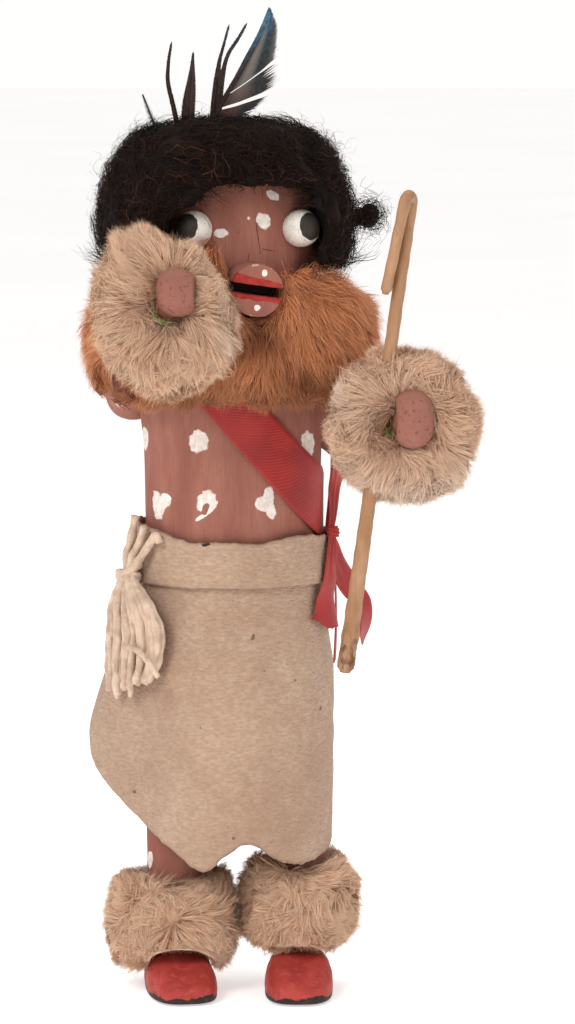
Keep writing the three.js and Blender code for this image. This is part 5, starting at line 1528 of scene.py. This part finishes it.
def makeRibbon():
    # woven rayon grosgrain: fine ribs that look diagonal, a soft sheen, darker in its folds
    made, tree, shader, place, share, travel = newMaterial(
        "wovenRayonRibbon", "share", "travel", roughness=0.55, ior=1.5, sheen=0.22, sheenRoughness=0.35, specular=0.4)
    across = sums(tree, "MULTIPLY", share, sash["width"])
    # ribs are about 0.5 mm apart, drawn at 0.75 mm so that they show
    ribs = sums(tree, "SINE", sums(tree, "MULTIPLY", sums(tree, "ADD", across, travel), 2 * math.pi / 0.75 * 0.72))
    threads = sums(tree, "SINE", sums(tree, "MULTIPLY", sums(tree, "SUBTRACT", across, travel), 2 * math.pi / 0.6))
    tone = noiseAt(tree, place, 10, 3)
    colour = blendColours(tree, tone, "#95211F", "#B02924")
    shade = addNode(tree, "MapRange", {"From Min": -1.0, "From Max": 1.0, "To Max": 0.2, "Value": ribs}).outputs[0]
    colour = blendColours(tree, shade, colour, "#821719")
    offMiddle = sums(tree, "ABSOLUTE", sums(tree, "SUBTRACT", share, 0.5))
    selvedge = addNode(tree, "MapRange", {"From Min": 0.46, "From Max": 0.49, "Value": offMiddle}).outputs[0]
    colour = tint(tree, colour, selvedge, 0.35, "#C94840")
    tree.links.new(colour, shader.inputs["Base Color"])
    relief(tree, shader, sums(tree, "MULTIPLY_ADD", threads, 0.35, ribs), 0.03, 0.6)
    return made


# Yarn tassel at the right hip

tassel = {
    "knot": (-27.4, -9.5, 112.6), "yarnRadius": 0.92, "strands": 30, "seed": 141,
    # how far the tassel spreads, left and right, at each height
    "spread": [(112.6, -28.6, -25.6), (105.5, -32.2, -21.4), (97.5, -33.0, -18.6), (89.5, -32.9, -19.4)],
    "ends": (79.8, 86.5),  # lowest at the left
    # strands that go up over the belt
    "ties": [[(-28.2, -8.6, 117), (-26.6, -9.3, 123), (-25.5, -9.6, 128.4)],
             [(-26.2, -11.0, 117.4), (-24.0, -12.6, 122.5), (-23.2, -13.4, 126)],
             [(-25.0, -13.0, 116.4), (-22.2, -15.0, 120.8), (-19.9, -16.9, 124.0), (-19.0, -17.6, 122.2)]],
}


def tasselPiece():
    chance = np.random.default_rng(tassel["seed"])
    knot, radius = np.array(tassel["knot"]), tassel["yarnRadius"]
    parts = []

    def yarn(path, radius, steps=46, fray=True, sway=0.32):
        path = evenly(spline(path, 160), steps)
        wander = noiseVectors(path + chance.uniform(-60, 60, 3), 13, 142, 1) * sway
        path = path + wander * np.sin(np.linspace(0.15, 2.6, steps))[:, None]
        swell = 1 + 0.12 * softNoise(path + 40, 4, 143)
        ends = np.ones(steps)
        if fray:
            ends[-4:] = (1.0, 1.06, 1.0, 0.62)
        parts.append(turnedTube(path, radius * swell * ends, 10, 2, 0.1, 0.6))

    def onHip(x, height, out):  # beside and in front of the right hip
        return (x, -23.6 * math.sqrt(max(0.0, 1 - (x / 31.5) ** 2)) - out, height)

    count = tassel["strands"]
    for i in range(count):
        layer = i % 3
        share = min(1.0, max(0.0, (i // 3 + 0.33 * layer) / (count / 3 - 0.7) + chance.normal(0, 0.02)))
        share = mix(0.08, 0.92, share) if layer == 2 else share
        out = 1.2 + radius * 1.45 * layer
        line = [onHip(mix(left, right, share) + chance.normal(0, 0.25), height, out + 0.4 * (height > 95))
                for height, left, right in tassel["spread"][1:]]
        bottom = mix(*tassel["ends"], share) + chance.normal(0, 0.8)
        line.append(onHip(mix(-32.6, -21.2, share), bottom, out))
        yarn([knot + chance.normal(0, 0.6, 3)] + line, radius * chance.uniform(0.92, 1.1))
    # one loose strand crosses the others
    yarn([onHip(-27.0, 94.6, 6.4), onHip(-24.2, 93.6, 7.2), onHip(-21.2, 90.6, 7.2), onHip(-19.2, 87.4, 5.6)],
         radius * 0.85, 30, True, 0.1)
    for line in tassel["ties"]:
        yarn([knot] + line, radius * 1.22, 30, False, 0.15)
    for k, lean in enumerate((0.9, -0.6, 0.25, -1.1)):  # turns of yarn round the neck of the tassel
        ring = np.linspace(0, 2 * math.pi, 27)
        reach = 1.9 + 0.16 * k
        path = knot + np.array((0.94, -0.34, 0)) * (np.cos(ring) * reach * 1.2)[:, None]
        path = path + np.array((0.34, 0.94, 0)) * (np.sin(ring) * reach)[:, None]
        path = path + np.array((0, 0, 1.0)) * (lean * np.cos(ring + k) * 1.5 - 1.3 + k * 0.8)[:, None]
        yarn(path, radius * 1.05, 30, False, 0.1)
    # loose fibres
    spun, faces = joined(parts)
    chosen = spun[chance.integers(0, len(spun), 2600)]
    ways = unit(chance.normal(size=chosen.shape))
    t = np.linspace(0, 1, 3)[None, :, None]
    bend = unit(chance.normal(size=chosen.shape)) * 0.5
    paths = chosen[:, None] + ways[:, None] * t * 1.3 + bend[:, None] * t * t
    flat = unit(np.cross(ways, chance.normal(size=chosen.shape)))[:, None] * np.ones((1, 3, 1))
    hair, hairFaces, _ = blades(paths, np.tile([0.09, 0.07, 0.0], (len(chosen), 1)), flat)
    points, faces = joined([(spun, faces), (hair, hairFaces)])
    addPiece("wool_tassel", points, faces, None, creamYarn, ["yarn_tassel"], "cream_yarn")


aimCamera()

bodyPaint = makeBodyPaint()
eyePaint = makeEyePaint()
lipPaint = makeLipPaint()
handPaint = makeHandPaint()
shoePaint = makeShoePaint()
peeledWood = makePeeledWood()
greenYarn = makeYarn("spunGreenWool", "#4F7420", "#86B03E")
paleFur = makeFur("tannedRabbitBeige", "#AE8165", "#D3A98A", "#EAC8A9", ("#B3A294", "#DCD0C3", "#F1EAE1"))
redFur = makeFur("tannedRabbitRusset", "#9A5631", "#CD8254", "#E6A676", ("#582A18", "#84492C", "#A96E49"))
blackWool = makeBlackWool()
featherVane = makeFeather()
buckskin = makeBuckskin()
redRibbon = makeRibbon()
creamYarn = makeYarn("spunCreamWool", "#BDA18B", "#E4CAB4")
print("materials ready")

carvedFigure()
eyeBall(-1, "eye_ball_right", "eye_right", facing(-45) + np.array((0, 0, 0.22)))
eyeBall(1, "eye_ball_left", "eye_left", facing(31.6) + np.array((0, 0, 0.18)))
mouthPeg()
for side in ("right", "left"):
    armPiece(side)
    wristYarn(side)
    moccasin(side)
crookPiece()
print("wood ready")

for side in ("right", "left"):
    cuffPiece(side)
    ankletPiece(side)
collarPiece()
print("fur ready")

wigPiece()
for name in ("feather_large", "feather_split", "feather_short", "feather_thin", "feather_stub"):
    featherPiece(name)
print("wig and feathers ready")

kiltPiece()
beltPiece()
sashPiece()
tasselPiece()
print("clothes ready")

world = bpy.data.worlds.new("studio")
world.use_nodes = True
world.node_tree.nodes["Background"].inputs[0].default_value = linear(studio["worldColour"])
# seen directly the room is as white as the card, while it lights the doll more softly
seen = addNode(world.node_tree, "LightPath").outputs["Is Camera Ray"]
strength = sums(world.node_tree, "MULTIPLY_ADD", seen, 1.1 - studio["worldStrength"], studio["worldStrength"])
world.node_tree.links.new(strength, world.node_tree.nodes["Background"].inputs[1])
scene.world = world
scene.view_settings.view_transform = "Standard"
for part in ("key", "fill", "top"):
    lamp = bpy.data.lights.new(part, "AREA")
    lamp.energy, lamp.size = studio[part + "Watts"], studio[part + "Size"]
    light = bpy.data.objects.new(part, lamp)
    light.location = studio[part + "Place"]
    light.rotation_euler = (Vector((0, 0, 0.13)) - light.location).to_track_quat("-Z", "Y").to_euler()
    scene.collection.objects.link(light)


def floorPiece():
    # one wide flat card under the doll, open on every side
    far = studio["cardWidth"] * 500
    points = np.array([(x, y, -0.4) for x in (-far, far) for y in (-far, far)], float) - dollAxis
    mesh = makeMesh("paper_floor", points, gridFaces(2, 2)[:, ::-1])
    floor = bpy.data.objects.new("paper_floor", mesh)
    scene.collection.objects.link(floor)
    made, tree, shader, place = newMaterial("mattCard", roughness=0.9, ior=1.45, specular=0.2)
    tone = noiseAt(tree, place, 400, 2)
    tree.links.new(blendColours(tree, tone, studio["floorColour"], "#FAF9F7"), shader.inputs["Base Color"])
    shader.inputs["Emission Color"].default_value = linear("#FFFFFF")
    shader.inputs["Emission Strength"].default_value = studio["cardGlow"]  # the card is lit through from behind
    mesh.materials.append(made)


floorPiece()
print("studio ready")
